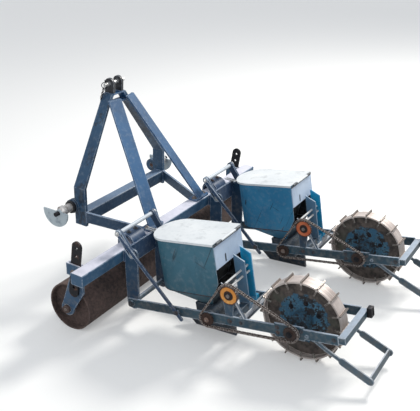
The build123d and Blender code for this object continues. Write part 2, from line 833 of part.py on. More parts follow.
    # Seed housing under the outlet with the furrow opener's runner
    housing_x = (outlet_front + outlet_rear) / 2 + housing_shift
    with BuildPart() as seed_housing:
        with BuildSketch(side_plane(0)):
            with Locations((housing_x, (hopper_foot + housing_foot) / 2)):
                Rectangle(housing_depth, hopper_foot - housing_foot)
        extrude(amount=housing_half, both=True)
        with Locations((seed_x, 0, seed_z)):
            Cylinder(boss_r, 2 * (rail_half_gap - rail_thick / 2), rotation=(90, 0, 0))
        with BuildSketch(side_plane(0)):
            with BuildLine():
                Polyline(
                    (opener_front, ground_z(opener_front) + opener_rise),
                    (opener_front + opener_curve, ground_z(opener_front + opener_curve) + opener_lift),
                    (opener_rear, ground_z(opener_rear) + opener_lift),
                    (opener_rear, housing_foot),
                    (opener_neck, housing_foot),
                    close=True,
                )
            make_face()
        extrude(amount=opener_thick / 2, both=True)
        with Locations((seed_x, 0, seed_z)):
            Cylinder(seed_shaft_r + run_gap, through, rotation=(90, 0, 0), mode=Mode.SUBTRACT)
    write(seed_housing, f"seed_housing_{row}", place)

    # Seed shaft with its sprocket
    with BuildPart() as seed_shaft:
        with BuildSketch(side_plane(rail_half_gap - rail_thick)):
            with Locations((seed_x, seed_z)):
                Circle(seed_shaft_r)
        extrude(amount=rail_half_gap - rail_thick - chain_y + shaft_end)
        with BuildSketch(side_plane(chain_y)):
            with Locations((seed_x, seed_z)):
                add(toothed_disc(sprocket_r))
        extrude(amount=sprocket_thick / 2, both=True)
    write(seed_shaft, f"seed_shaft_{row}", place)

    # Stand of the idler: cross bar, two upright plates, bracket, strut, two rods and the idler's pin
    strut_turn = degrees(atan2(idler_z, strut_reach))
    strut_span = hypot(idler_z, strut_reach)
    with BuildPart() as idler_stand:
        with Locations((stand_x, 0, 0)):
            Box(stand_bar, 2 * (rail_half_gap - rail_thick / 2), stand_bar)
        for plate_y, plate_top in ((grey_plate_y, grey_plate_top), (cyan_plate_y, cyan_plate_top)):
            with BuildSketch(side_plane(plate_y)):
                with BuildLine():
                    Polyline(
                        (plate_front, 0),
                        (plate_rear, 0),
                        (plate_rear, plate_top - plate_drop),
                        (plate_front, plate_top),
                        close=True,
                    )
                make_face()
            extrude(amount=stand_plate / 2, both=True)
        with BuildSketch(side_plane(-rail_half_gap)):
            with BuildLine():
                Polyline(
                    (stand_x - stand_bar / 2, rail_height / 2),
                    (stand_x + stand_bar / 2, rail_height / 2),
                    (idler_x + stand_bar / 2, idler_z),
                    (idler_x, idler_z + stand_bar / 2),
                    (stand_x - stand_bar / 2, idler_z + rod_high + stand_rod_r),
                    close=True,
                )
            make_face()
            with Locations((idler_x + strut_reach / 2, idler_z / 2)):
                SlotCenterToCenter(strut_span, strut_width, rotation=-strut_turn)
            with Locations((idler_x + strut_reach, 0)):
                Rectangle(2 * (strut_reach + strut_width), rail_height, mode=Mode.SUBTRACT)
        extrude(amount=stand_plate / 2, both=True)
        with Locations((stand_x, 0, idler_z + rod_high), (stand_x + rod_step, 0, idler_z + rod_low)):
            with Locations((0, (cyan_plate_y - rail_half_gap) / 2, 0)):
                Cylinder(stand_rod_r, rail_half_gap + cyan_plate_y, rotation=(90, 0, 0))
        with BuildSketch(side_plane(-rail_half_gap)):
            with Locations((idler_x, idler_z)):
                Circle(idler_pin_r)
        extrude(amount=-chain_y - rail_half_gap + shaft_end)
    write(idler_stand, f"idler_stand_{row}", place)

    with BuildPart() as idler:
        with BuildSketch(side_plane(chain_y)):
            with Locations((idler_x, idler_z)):
                add(toothed_disc(idler_r))
                Circle(idler_pin_r + run_gap, mode=Mode.SUBTRACT)
        extrude(amount=idler_thick / 2, both=True)
    write(idler, f"idler_{row}", place)

    # Chain round the wheel's sprocket, the idler and the seed shaft's sprocket, link by link
    pin_reach = chain_gap + link_outer_height / 2
    discs = ((idler_x, idler_z, idler_r), (seed_x, seed_z, sprocket_r), (axle_x, 0, sprocket_r))
    with BuildSketch() as chain_run:
        for x, z, radius in discs:
            with Locations((x, z)):
                Circle((radius + pin_reach) / cos(chain_pitch / (2 * radius)))
        make_hull()
    run = chain_run.face().outer_wire()
    pairs = round(run.length / (2 * chain_pitch))
    pins = [run @ (number / (2 * pairs)) for number in range(2 * pairs + 1)]
    with BuildPart() as chain:
        for first, width, height in (
            (0, link_inner_width, link_inner_height),
            (1, link_outer_width, link_outer_height),
        ):
            with BuildSketch(side_plane(chain_y)):
                for start, stop in zip(pins[first::2], pins[first + 1 :: 2]):
                    middle = (start + stop) / 2
                    turn = degrees(atan2(stop.Y - start.Y, stop.X - start.X))
                    with Locations(Location((middle.X, middle.Y, 0), (0, 0, turn))):
                        Polygon(*link_outline((stop - start).length, height))
            extrude(amount=width / 2, both=True)
    write(chain, f"chain_{row}", place)

    # Drive wheel with its axle and sprocket
    with BuildPart() as wheel:
        with BuildSketch(Plane.XY):
            with BuildLine():
                Polyline(
                    (0, rail_half_gap + 2 * rail_thick),
                    (axle_r, rail_half_gap + 2 * rail_thick),
                    (axle_r, hub_far),
                    (hub_r, hub_far),
                    (hub_r, web_thick),
                    (centre_r, web_thick / 2),
                    (wheel_r - rim_thick, web_thick / 2),
                    (wheel_r - rim_thick, wheel_width / 2),
                    (wheel_r, wheel_width / 2),
                    (wheel_r, -wheel_width / 2),
                    (wheel_r - rim_thick, -wheel_width / 2),
                    (wheel_r - rim_thick, -web_thick / 2),
                    (centre_r, -web_thick / 2),
                    (hub_r, -web_thick),
                    (hub_r, -hub_near),
                    (axle_r, -hub_near),
                    (axle_r, chain_y - shaft_end),
                    (0, chain_y - shaft_end),
                    close=True,
                )
            make_face()
        revolve(axis=Axis.Y)
        with BuildSketch(side_plane(chain_y)):
            add(toothed_disc(sprocket_r))
        extrude(amount=sprocket_thick / 2, both=True)
        with BuildSketch(side_plane(0)):
            with PolarLocations((lug_tip_r + lug_inner_r) / 2, wheel_lugs, start_angle=-90):
                Rectangle(lug_tip_r - lug_inner_r, lug_plate)
        extrude(amount=wheel_width / 2 + lug_side, both=True)
        with BuildSketch(side_plane(0)):
            Circle(wheel_r - rim_thick)
            Circle(centre_r, mode=Mode.SUBTRACT)
        extrude(amount=wheel_width / 2, both=True, mode=Mode.SUBTRACT)
        with BuildSketch(side_plane(0)):
            Circle(wheel_r - rim_thick / 2)
            Circle(centre_r - rim_thick, mode=Mode.SUBTRACT)
        extrude(amount=web_thick / 2, both=True)
    write(wheel, f"wheel_{row}", place * Location((axle_x, 0, 0), (0, unit_pitch, 0)))

    # Scraper on a cross bar ahead of the wheel
    scraper_tip_r = lug_tip_r + scraper_gap
    scraper_tip_x = axle_x - (scraper_tip_r**2 - scraper_tip_z**2) ** 0.5
    with BuildPart() as scraper:
        with Locations((scraper_x, 0, 0)):
            Box(stand_bar / 2, 2 * (rail_half_gap - rail_thick / 2), stand_bar / 2)
        with BuildSketch(side_plane(0)):
            with BuildLine():
                Polyline(
                    (scraper_x, 0),
                    (scraper_knee_x, scraper_knee_z),
                    (scraper_tip_x, scraper_tip_z),
                    (scraper_tip_x, scraper_tip_z - scraper_thick),
                    (scraper_knee_x + scraper_thick, scraper_knee_z - scraper_thick / 2),
                    (scraper_x + scraper_thick, 0),
                    close=True,
                )
            make_face()
        extrude(amount=wheel_width / 2, both=True)
    write(scraper, f"scraper_{row}", place)

    # Drag loop that trails behind the wheel on two pins in the rails
    drag_path = [
        (drag_x, drag_z),
        (drag_knee_x, drag_knee_z),
        (drag_bar_x, drag_bar_z),
        (drag_end_x, drag_end_z),
    ]
    drag_widths = (drag_rod, drag_rod, drag_bar)
    with BuildPart() as drag_loop:
        for sign in (-1, 1):
            with BuildSketch(side_plane(sign * drag_half)):
                for start, stop, width in zip(drag_path, drag_path[1:], drag_widths):
                    span = hypot(stop[0] - start[0], stop[1] - start[1])
                    turn = degrees(atan2(stop[1] - start[1], stop[0] - start[0]))
                    with Locations(((start[0] + stop[0]) / 2, (start[1] + stop[1]) / 2)):
                        SlotCenterToCenter(span, width, rotation=turn)
            extrude(amount=drag_thick / 2, both=True)
            with BuildSketch(side_plane(sign * drag_half)):
                with Locations((drag_x, drag_z)):
                    Circle(drag_eye_r)
            extrude(amount=drag_thick / 2, both=True)
            with BuildSketch(side_plane(sign * drag_half)):
                with Locations((drag_x, drag_z)):
                    Circle(drag_pin_r)
            extrude(amount=-sign * (rail_face - drag_half + drag_pin_end))
        with Locations((drag_end_x, 0, drag_end_z)):
            Box(drag_thick, 2 * drag_half, drag_bar)
    write(drag_loop, f"drag_loop_{row}", place)

for name, place, x, z in (
    ("drum", front_place, drum_x, drum_z),
    ("hitch", front_place, hitch_x, hitch_z),
    ("mast", front_place, mast_pin_x, mast_pin_z),
    ("link", front_place, link_x, link_z),
    ("saddle", front_place, 0, bar_height / 2),
    ("wheel", unit_place(0), axle_x, 0),
    ("idler", unit_place(0), idler_x, idler_z),
    ("seed", unit_place(0), seed_x, seed_z),
    ("lid", unit_place(0), hinge_x, hinge_z),
    ("drag", unit_place(0), drag_x, drag_z),
    ("drag_end", unit_place(0), drag_end_x, drag_end_z),
    ("unit", unit_place(0), 0, 0),
):
    point = (place * Location((x, 0, z))).position
    print(name, round(point.X, 4), round(point.Z, 4))
print("unit_pitch", round(unit_pitch, 6), 0)
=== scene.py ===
# %% [markdown]
# # A two-row precision seeder
#
# The steel parts of this machine come from its CAD model, already in their places. Blender gives
# them their look: sun-bleached blue paint with rust flakes and rubbed edges, a brown drum roller,
# drive wheels with a bright tread, and the bolts, welds and small fittings that CAD leaves out.

import math

import bmesh
import bpy
from mathutils import Matrix, Vector


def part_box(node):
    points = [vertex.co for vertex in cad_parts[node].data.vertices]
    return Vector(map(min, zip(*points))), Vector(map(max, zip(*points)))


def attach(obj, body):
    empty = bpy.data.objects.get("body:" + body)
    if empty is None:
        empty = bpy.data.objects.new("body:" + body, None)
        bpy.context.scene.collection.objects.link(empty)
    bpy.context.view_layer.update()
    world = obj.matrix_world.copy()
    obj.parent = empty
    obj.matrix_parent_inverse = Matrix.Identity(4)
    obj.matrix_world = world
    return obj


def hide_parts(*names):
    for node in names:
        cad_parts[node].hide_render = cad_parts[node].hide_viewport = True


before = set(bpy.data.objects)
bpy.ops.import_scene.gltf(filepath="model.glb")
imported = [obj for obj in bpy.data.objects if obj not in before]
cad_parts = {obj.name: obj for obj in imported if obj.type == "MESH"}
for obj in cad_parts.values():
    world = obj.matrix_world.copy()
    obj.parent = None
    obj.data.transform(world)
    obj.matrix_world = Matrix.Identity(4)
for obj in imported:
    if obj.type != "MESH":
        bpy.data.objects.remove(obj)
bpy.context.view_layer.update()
bpy.ops.object.select_all(action="DESELECT")

# %% [markdown]
# ## Two slanted frames
#
# The headstock and its toolbar lean back a little, and both row units climb towards their drive
# wheels. Sizes are easiest to give level, so each part of the machine gets a matrix that turns its
# own level millimetres into the shared world. The toolbar's box and the wheel's box anchor them.

# %% Frames
ROWS = {"left": -0.375, "right": 0.375}
BOTH = (-1, 1)  # the signs of y on the left and on the right
FRONT_LEAN = math.radians(5.0)
UNIT_PITCH = math.radians(6.029)
# Metres in the level frame of a row unit: x runs to the rear, y to the right, z up
AXLE_X = 0.836
SEED_X, SEED_Z = 0.434, -0.001
IDLER_X, IDLER_Z = 0.563, 0.134
CHAIN_Y = -0.143


def box_middle(node):
    """The middle of a CAD node's box."""
    low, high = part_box(node)
    return (Vector(low) + Vector(high)) / 2


FRONT = Matrix.Translation(box_middle("toolbar")) @ Matrix.Rotation(FRONT_LEAN, 4, "Y")
AXLE = box_middle("wheel_left")
IDLER = box_middle("idler_left")
UNIT_TURN = Matrix.Rotation(-UNIT_PITCH, 4, "Y")
UNIT_START = Vector((AXLE.x, 0.0, AXLE.z)) - UNIT_TURN @ Vector((AXLE_X, 0.0, 0.0))


def unit(row):
    """The matrix of a row unit."""
    return Matrix.Translation(UNIT_START + Vector((0.0, ROWS[row], 0.0))) @ UNIT_TURN


def mm(x, y, z):
    """A move given in millimetres."""
    return Matrix.Translation(Vector((x, y, z)) / 1000)


# Turns of a piece that is modelled pointing up
UP = Matrix.Identity(4)
LEFT = Matrix.Rotation(math.radians(90), 4, "X")
RIGHT = Matrix.Rotation(math.radians(-90), 4, "X")
OUTWARD = {-1: LEFT, 1: RIGHT}
print("front frame", FRONT.translation, "unit frame", UNIT_START)

# %% [markdown]
# ## Shader maths in plain Python
#
# A shader is a graph of nodes. Wiring a Math node by hand for each plus and times hides the idea,
# so one small class wraps a socket and turns Python's own operators into Math nodes. Any other
# node comes from one method, which takes the node's type, its settings and its inputs.

# %% Shader helper
FINISHES = {}


class Wire:
    """A shader value: a socket in a material's node tree that can be used in sums."""

    def __init__(self, tree, socket):
        self.tree = tree
        self.socket = socket

    def math(self, operation, *values, clamp=False):
        """A Math node over one or two values, each a wire or a plain number."""
        node = self.tree.nodes.new("ShaderNodeMath")
        node.operation = operation
        node.use_clamp = clamp
        for socket, value in zip(node.inputs, values):
            if isinstance(value, Wire):
                self.tree.links.new(value.socket, socket)
            else:
                socket.default_value = value
        return Wire(self.tree, node.outputs[0])

    def __add__(self, other):
        return self.math("ADD", self, other)

    __radd__ = __add__

    def __mul__(self, other):
        return self.math("MULTIPLY", self, other)

    __rmul__ = __mul__

    def __sub__(self, other):
        return self.math("SUBTRACT", self, other)

    def __rsub__(self, other):
        return self.math("SUBTRACT", other, self)

    def __abs__(self):
        return self.math("ABSOLUTE", self)

    def clamped(self):
        return self.math("ADD", self, 0.0, clamp=True)

    def over(self, low, high):
        """0 at low, 1 at high, a straight ramp between."""
        return ((self - low) * (1.0 / (high - low))).clamped()

    def within(self, low, high, soft):
        """1 between low and high, with soft ends."""
        return self.over(low - soft, low + soft) * self.over(high + soft, high - soft)


class Finish:
    """A new material, kept in FINISHES, with its shader and a few ways to make patterns.

    level is the slanted frame in which places on the surface are measured.
    """

    EDGE_START, EDGE_FULL = 0.004, 0.060

    def __init__(self, name, level=FRONT):
        self.material = bpy.data.materials.new(name)
        self.material.use_nodes = True
        FINISHES[name] = self.material
        self.level = level
        self.tree = self.material.node_tree
        self.shader = self.tree.nodes["Principled BSDF"]
        self.place = self.node("ShaderNodeTexCoord", out="Object")

    def node(self, kind, settings=None, inputs=None, out=0):
        """A node of any kind: settings first, then values or links of its sockets."""
        node = self.tree.nodes.new(kind)
        for key, value in (settings or {}).items():
            setattr(node, key, value)
        for key, value in (inputs or {}).items():
            if isinstance(value, Wire):
                self.tree.links.new(value.socket, node.inputs[key])
            else:
                node.inputs[key].default_value = value
        return Wire(self.tree, node.outputs[out])

    def feed(self, socket, value):
        """Give a socket a wire, a colour or a plain number."""
        if isinstance(value, Wire):
            self.tree.links.new(value.socket, socket)
        elif isinstance(value, tuple):
            socket.default_value = (*value, 1.0)
        else:
            socket.default_value = value

    def noise(self, scale, detail=4.0, rough=0.55, stretch=None, turn=(0.0, 0.0, 0.0)):
        """Soft random pattern; a stretch below 1 draws it out along that axis, turned by turn."""
        place = self.place
        if stretch:
            scales = [1.0 / value for value in stretch]
            place = self.node(
                "ShaderNodeMapping",
                {"vector_type": "TEXTURE"},
                {"Vector": self.place, "Rotation": turn, "Scale": scales},
            )
        return self.node(
            "ShaderNodeTexNoise",
            {},
            {"Vector": place, "Scale": scale, "Detail": detail, "Roughness": rough},
        )

    def mix(self, factor, low, high):
        """Mix two colours, given as wires or tuples."""
        node = self.tree.nodes.new("ShaderNodeMix")
        node.data_type = "RGBA"
        for number, value in ((0, factor), (6, low), (7, high)):
            self.feed(node.inputs[number], value)
        return Wire(self.tree, node.outputs[2])

    def parts(self, vector):
        """The x, y and z of a vector."""
        split = self.node("ShaderNodeSeparateXYZ", {}, {0: vector})
        node = split.socket.node
        return tuple(Wire(self.tree, socket) for socket in node.outputs)

    def inside(self):
        """The surface's x, y and z in the level frame."""
        back = self.level.inverted()
        place = self.node(
            "ShaderNodeMapping",
            {},
            {"Vector": self.place, "Location": back.translation, "Rotation": back.to_euler()},
        )
        return self.parts(place)

    def edges(self, radius):
        """1 on outer edges, 0 on flat places, from a rounded normal against the true one."""
        true = self.node("ShaderNodeNewGeometry", out="Normal")
        round_off = self.node("ShaderNodeBevel", {"samples": 4}, {"Radius": radius})
        likeness = self.node(
            "ShaderNodeVectorMath", {"operation": "DOT_PRODUCT"}, {0: true, 1: round_off}, "Value"
        )
        return (1.0 - likeness).over(self.EDGE_START, self.EDGE_FULL)

    def set(self, **sockets):
        """Set sockets of the shader: Base_Color is written for the socket Base Color."""
        for key, value in sockets.items():
            self.feed(self.shader.inputs[key.replace("_", " ")], value)

    def bump(self, height, strength, distance):
        inputs = {"Strength": strength, "Distance": distance, "Height": height}
        self.set(Normal=self.node("ShaderNodeBump", {}, inputs))


def srgb(red, green, blue):
    """Colour as it looks on a screen, 0 to 255, as the linear values that shaders want."""

    def linear(level):
        value = level / 255
        return ((value + 0.055) / 1.055) ** 2.4 if level > 10 else value / 12.92

    return linear(red), linear(green), linear(blue)


# %% [markdown]
# ## Old paint
#
# The paint has faded in the sun, lost its gloss and come off in flakes that show rust. Three
# noises of different size do it: a broad one for fading, a middle one for stains and runs, and a
# fine one that is cut hard at a threshold, so that the flakes have sharp edges. Hands, soil and
# straps polish the outer edges, so there the paint is rubbed through to pale metal. Splashed soil
# thins out upwards.
# Upper faces are paler: bleached by the sun, and paler still as a painted highlight of its light.

# %% Paint
RUSTS = (srgb(52, 38, 34), srgb(120, 82, 62))
STAINED = srgb(34, 46, 58)
DUSTY = srgb(150, 160, 168)
RUBBED = srgb(182, 192, 204)
SOIL = srgb(104, 92, 78)
SOIL_NONE_Z, SOIL_FULL_Z = 0.34, 0.05
X, Y, Z = 0, 1, 2


def old_paint(
    name, fresh, faded, flaking=0.35, gloss=0.38, top=None, edge=0.6, reach=0.006,
    zones=(), level=FRONT,
):
    """Worn paint in two tints with rust flakes, more of them as flaking grows to 1.

    top is the colour of upper faces: paint bleached by the sun, made paler still as
    a painted highlight of the sun on them. reach is how far in from an edge the paint is rubbed.
    zones are functions for places that are painted differently: each takes the finish and its
    paint, and returns a mask, the paint and the other colour.
    """
    finish = Finish(name, level)
    broad = finish.noise(3.6, 3.0)
    stain = finish.noise(15.0, 6.0, 0.65, (1.0, 1.0, 0.4))
    dust = finish.noise(46.0, 5.0, 0.6)
    fine = finish.noise(110.0, 8.0, 0.7)
    paint = finish.mix(broad.over(0.34, 0.66), fresh, faded)
    for zone in zones:
        paint = finish.mix(*zone(finish, paint))
    # Upper faces take the top colour: sun bleaching with a painted highlight of the sun over it.
    if top:
        up = finish.parts(finish.node("ShaderNodeNewGeometry", out="Normal"))[Z]
        paint = finish.mix(up.over(0.80, 0.97) * (0.75 + 0.25 * stain.over(0.3, 0.6)), paint, top)
    paint = finish.mix(stain.over(0.55, 0.82) * 0.55, paint, STAINED)
    paint = finish.mix(dust.over(0.50, 0.76) * 0.22, paint, DUSTY)
    limit = 0.76 - 0.17 * flaking
    flake = (fine * 0.5 + stain * 0.5).over(limit - 0.05, limit - 0.03)
    rust = finish.mix(dust.over(0.35, 0.65), *RUSTS)
    worn = finish.edges(reach) * dust.over(0.34, 0.50) * edge
    height = finish.parts(finish.place)[Z]
    soil = height.over(SOIL_NONE_Z, SOIL_FULL_Z) * dust.over(0.38, 0.68) * 0.5
    colour = finish.mix(flake, paint, rust)
    colour = finish.mix(worn, colour, RUBBED)
    finish.set(
        Base_Color=finish.mix(soil, colour, SOIL),
        Roughness=(stain * 0.25 + gloss + flake * 0.3 + soil * 0.3).clamped(),
        Specular_IOR_Level=0.5,
    )
    finish.bump(dust * 0.3 - flake, 0.35, 0.0006)


def band(axis, low, high, colour, soft=0.0006):
    """A zone of another colour between two levels of one axis."""

    def zone(finish, paint):
        return finish.inside()[axis].within(low, high, soft), paint, colour

    return zone


def scuffs(finish, paint):
    """Dark rubbed places, longer than they are wide, as on the legs of the headstock."""
    broad = finish.noise(9.0, 5.0, 0.62, (1.6, 1.6, 0.6))
    fine = finish.noise(80.0, 6.0, 0.7, (1.0, 1.0, 0.5))
    return (broad * 0.6 + fine * 0.4).over(0.528, 0.552) * 0.7, paint, srgb(20, 26, 36)


old_paint("headstock blue", srgb(24, 68, 106), srgb(42, 90, 132), 0.40, edge=0.45)
old_paint("leg blue", srgb(26, 62, 92), srgb(42, 82, 112), 0.40, edge=0.45, zones=(scuffs,))
# The top colours below are painted highlights of the sun on upper faces, over some real bleaching.
old_paint("beam blue", srgb(28, 54, 80), srgb(52, 80, 106), 0.42, top=srgb(96, 118, 144), edge=0.8)
old_paint(
    "toolbar blue", srgb(28, 66, 98), srgb(54, 92, 122), 0.38, top=srgb(214, 214, 226), edge=0.9
)
# The carriers' blue is darkened as painted shade of the hopper and toolbar over them.
old_paint("carrier blue in shade", srgb(14, 46, 72), srgb(32, 66, 94), 0.42)
old_paint("saddle blue", srgb(16, 42, 72), srgb(36, 68, 102), 0.50, edge=0.9)
old_paint("stay blue", srgb(22, 48, 78), srgb(46, 74, 104), 0.50, edge=1.0, reach=0.004)
old_paint("housing blue", srgb(24, 38, 52), srgb(44, 60, 74), 0.55, 0.5, edge=0.4)
# Rails and rear bars: blue darkened as painted shade, with a top colour lightened as painted
# highlight.
old_paint("rail blue in shade", srgb(18, 50, 66), srgb(46, 78, 94), 0.60, top=srgb(160, 174, 190), edge=1.0)
old_paint("drag blue", srgb(48, 72, 88), srgb(78, 98, 112), 0.45, top=srgb(212, 216, 222), edge=1.0)
old_paint("lid white", srgb(200, 205, 208), srgb(220, 223, 224), 0.12, edge=0.5, reach=0.004)
old_paint("black paint", srgb(26, 26, 30), srgb(46, 46, 50), 0.22, 0.34, edge=0.35)

# %% [markdown]
# ## Hopper, idler stand, scraper and link arms
#
# These nodes are one solid each but not one colour. A mask worked out in the node's own slanted
# frame says where the second colour begins: the painted shade in the hollow under the hopper's rear
# panel, the cyan plate behind the idler, the bare blade of the scraper, the bare tube between the
# link arms.
# All levels are metres in that frame.

# %% Hoppers
RECESS_X = 0.3985
RECESS_Z = (0.0974, 0.2306)
RECESS_HALF = 0.1165
FUNNEL_BACK_X = 0.3992
FUNNEL_SLOPE = 0.639
FUNNEL_TOP = 0.0990
KEYHOLE_X = 0.4990
KEYHOLE_Y = (-0.044, -0.024)
KEYHOLE_Z = (0.234, 0.280)
LID_SHADE_Z = (0.3345, 0.3600)
# Black for the painted shade inside the hollow and behind the keyhole.
HOLLOW_PAINTED_SHADE = srgb(12, 13, 16)
# One blue for both hoppers: the left one's tints are darker and greener as painted shade, the right
# one's are the lit ones.
HOPPER_LIT_AND_SHADED_TINTS = {
    "left": (srgb(31, 80, 97), srgb(54, 102, 120)),
    "right": (srgb(28, 102, 142), srgb(56, 132, 170)),
}


def recess_shade(finish, paint):
    """Painted shade in the hollow below the rear panel: its slope and the inner faces of its two
    flanges.
    """
    x, y, z = finish.inside()
    deep = x.over(RECESS_X, RECESS_X + 0.0010) * z.within(*RECESS_Z, 0.0003)
    return deep * abs(y).over(RECESS_HALF, RECESS_HALF - 0.0005), paint, HOLLOW_PAINTED_SHADE


def funnel_back(finish, paint):
    """The sloping rear face of the funnel below the waist, always in the shade of the hopper."""
    x, _, z = finish.inside()
    behind = (x - z * FUNNEL_SLOPE).over(FUNNEL_BACK_X, FUNNEL_BACK_X + 0.0006)
    below = z.over(FUNNEL_TOP, FUNNEL_TOP - 0.0006)
    return behind * below * 0.85, paint, srgb(14, 24, 36)


def keyhole(finish, paint):
    """Painted shade behind the keyhole slot of the rear panel, where the hollow is dark."""
    x, y, z = finish.inside()
    behind = x.over(KEYHOLE_X, KEYHOLE_X + 0.0005)
    slot = y.within(*KEYHOLE_Y, 0.0005) * z.within(*KEYHOLE_Z, 0.0005)
    return behind * slot, paint, HOLLOW_PAINTED_SHADE


def scratches(finish, paint):
    """Thin dark scratches in two directions: the crests of a noise that is drawn out very long."""
    steep = finish.noise(110.0, 1.0, 0.4, (1.0, 1.0, 0.045), (0.0, 0.42, 0.0)).over(0.700, 0.730)
    flat = finish.noise(120.0, 1.0, 0.4, (1.0, 1.0, 0.040), (0.0, -1.15, 0.0)).over(0.715, 0.745)
    some = finish.noise(8.0, 1.0).over(0.42, 0.50)
    return (steep + flat).clamped() * some * 0.85, paint, srgb(20, 30, 36)


for row, (fresh, faded) in HOPPER_LIT_AND_SHADED_TINTS.items():
    old_paint(
        f"hopper blue {row}", fresh, faded, 0.28, edge=0.5, reach=0.004,
        zones=(scratches, funnel_back, recess_shade, keyhole), level=unit(row),
    )
    # A dark strip at the panel's head is the painted shade under the lid's edge.
    old_paint(
        f"panel pale {row}", srgb(162, 182, 206), srgb(190, 206, 226), 0.16, edge=0.3,
        zones=(band(Z, *LID_SHADE_Z, srgb(22, 24, 28)),), level=unit(row),
    )

# %% Idler stands: a dark bracket with a pale strut, a grey-blue plate, a cyan one, bare rods
STRUT_ACROSS_X, STRUT_ACROSS_Z = 0.908, 0.420
STRUT_HALF = 0.0036
STRUT_START_X = 0.580
STRUT_INNER_Y = -0.1195
ROD_NEAR_Y = (-0.1210, 0.0115)
ROD_FAR_Y = (0.0185, 0.0715)
ROD_LOW_Z = 0.100
ROD_REAR_X = 0.560
GREY_PLATE_Y = (0.010, 0.045)
CYAN_PLATE_Y = (0.045, 0.110)


def strut(finish, paint):
    """A bare stripe along the sloping strut behind the bracket, outside the rail."""
    x, y, z = finish.inside()
    aside = abs((x - IDLER_X) * STRUT_ACROSS_X + (z - IDLER_Z) * STRUT_ACROSS_Z)
    stripe = aside.over(STRUT_HALF, STRUT_HALF - 0.0006)
    behind = x.over(STRUT_START_X, STRUT_START_X + 0.002)
    outside = y.over(STRUT_INNER_Y, STRUT_INNER_Y - 0.001)
    return stripe * behind * outside, paint, srgb(196, 200, 206)


def rods(finish, paint):
    """The two cross rods, where they run free between the bracket and the plates."""
    x, y, z = finish.inside()
    free = y.within(*ROD_NEAR_Y, 0.0003) + y.within(*ROD_FAR_Y, 0.0003)
    high = z.over(ROD_LOW_Z, ROD_LOW_Z + 0.001)
    ahead = x.over(ROD_REAR_X, ROD_REAR_X - 0.002)
    return free * high * ahead, paint, srgb(196, 196, 194)


for row in ROWS:
    old_paint(
        f"stand blue {row}", srgb(26, 50, 72), srgb(50, 76, 96), 0.36, reach=0.004,
        zones=(
            band(Y, *GREY_PLATE_Y, srgb(80, 116, 144)),
            band(Y, *CYAN_PLATE_Y, srgb(6, 140, 184)),
            strut,
            rods,
        ),
        level=unit(row),
    )

# %% Scrapers: bare at the blade and at the foot, blue where they are bent
BLADE_Z = (0.0560, 0.1100)
FOOT_Z = (0.0050, 0.0460)
for row in ROWS:
    old_paint(
        f"scraper steel {row}", srgb(24, 44, 62), srgb(48, 70, 90), 0.50, edge=1.0,
        zones=(
            band(Z, *BLADE_Z, srgb(212, 212, 216), 0.002),
            band(Z, *FOOT_Z, srgb(172, 176, 182), 0.002),
        ),
        level=unit(row),
    )

# %% Link arms: the cross tube between them and its collars are bare
TUBE_HALF = 0.1194
RIGHT_COLLAR_Y = (0.1338, 0.1353)
LEFT_COLLAR_Y = (-0.1600, -0.1338)
COLLAR_BARE = srgb(168, 182, 196)
for row, row_y in ROWS.items():
    old_paint(
        f"link blue {row}", srgb(20, 46, 74), srgb(40, 68, 96), 0.46, edge=0.6, reach=0.003,
        zones=(
            band(Y, -TUBE_HALF, TUBE_HALF, srgb(190, 198, 206)),
            band(Y, *RIGHT_COLLAR_Y, COLLAR_BARE),
            band(Y, *LEFT_COLLAR_Y, COLLAR_BARE),
        ),
        level=Matrix.Translation((0.0, row_y, 0.0)) @ FRONT,
    )

# %% [markdown]
# ## Bare metal
#
# Steel without paint is brown where nothing rubs it and bright where the soil does. All steels
# mix rust colours with a metal colour; only the tints, the share and the size of the spots change.


# %% Steel
def steel(name, bright, share, rough=0.38, spots=24.0, rusts=RUSTS, edge=0.3, reach=0.003):
    """Bare steel: share is how much of it is rusty, spots is how fine its pattern is."""
    finish = Finish(name)
    broad = finish.noise(5.0, 4.0)
    spot = finish.noise(spots, 8.0, 0.68)
    fine = finish.noise(spots * 6, 6.0, 0.7)
    limit = 0.72 - 0.45 * share
    rusty = (broad * 0.35 + spot * 0.65).over(limit - 0.07, limit + 0.05)
    rust = finish.mix((fine * 0.5 + broad * 0.5).over(0.38, 0.62), *rusts)
    metal = finish.mix(fine.over(0.3, 0.7) * 0.5, bright, tuple(0.55 * v for v in bright))
    worn = finish.edges(reach) * fine.over(0.3, 0.5) * edge
    finish.set(
        Base_Color=finish.mix(worn, finish.mix(rusty, metal, rust), bright),
        Roughness=(rusty * 0.42 + rough + fine * 0.12).clamped(),
        Metallic=((1.0 - rusty) * 0.75).clamped(),
    )
    finish.bump(fine * 0.6 + spot * 0.4, 0.4, 0.0008)


steel("drum rust", srgb(136, 118, 110), 0.95, 0.45, 11.0, (srgb(38, 32, 32), srgb(98, 80, 74)))
steel("worn steel", srgb(214, 214, 212), 0.22, 0.36, 30.0, (RUSTS[0], srgb(150, 134, 120)))
CHAIN_RUSTS = (srgb(30, 25, 23), srgb(82, 64, 56))
# Chain plates are dark rust with bright rims: partly wear, partly a painted highlight of the sun on
# their edges.
steel("chain plate", srgb(228, 220, 214), 0.95, 0.32, 70.0, CHAIN_RUSTS, 1.5, 0.0008)
steel("chain roller", srgb(70, 62, 58), 0.85, 0.42, 70.0, CHAIN_RUSTS, 0.0)
steel("black steel", srgb(44, 44, 48), 0.20, 0.46, 20.0, edge=0.7)
steel("dark cast", srgb(44, 56, 68), 0.42, 0.55, 18.0)
steel("oily steel", srgb(52, 44, 40), 0.60, 0.40, 30.0, (srgb(22, 18, 17), srgb(58, 38, 30)), 0.3)
steel("bolt steel", srgb(150, 146, 142), 0.46, 0.36, 90.0, edge=0.8)
steel("dark bolt", srgb(84, 88, 94), 0.36, 0.42, 90.0, edge=0.6)


# %% Guide plates: the ring beside the leg is black, the plate at the end pale blue-grey
HITCH_RING_Y = (0.3530, 0.3663)
HITCH_PLATE_Y = (0.4412, 0.4520)


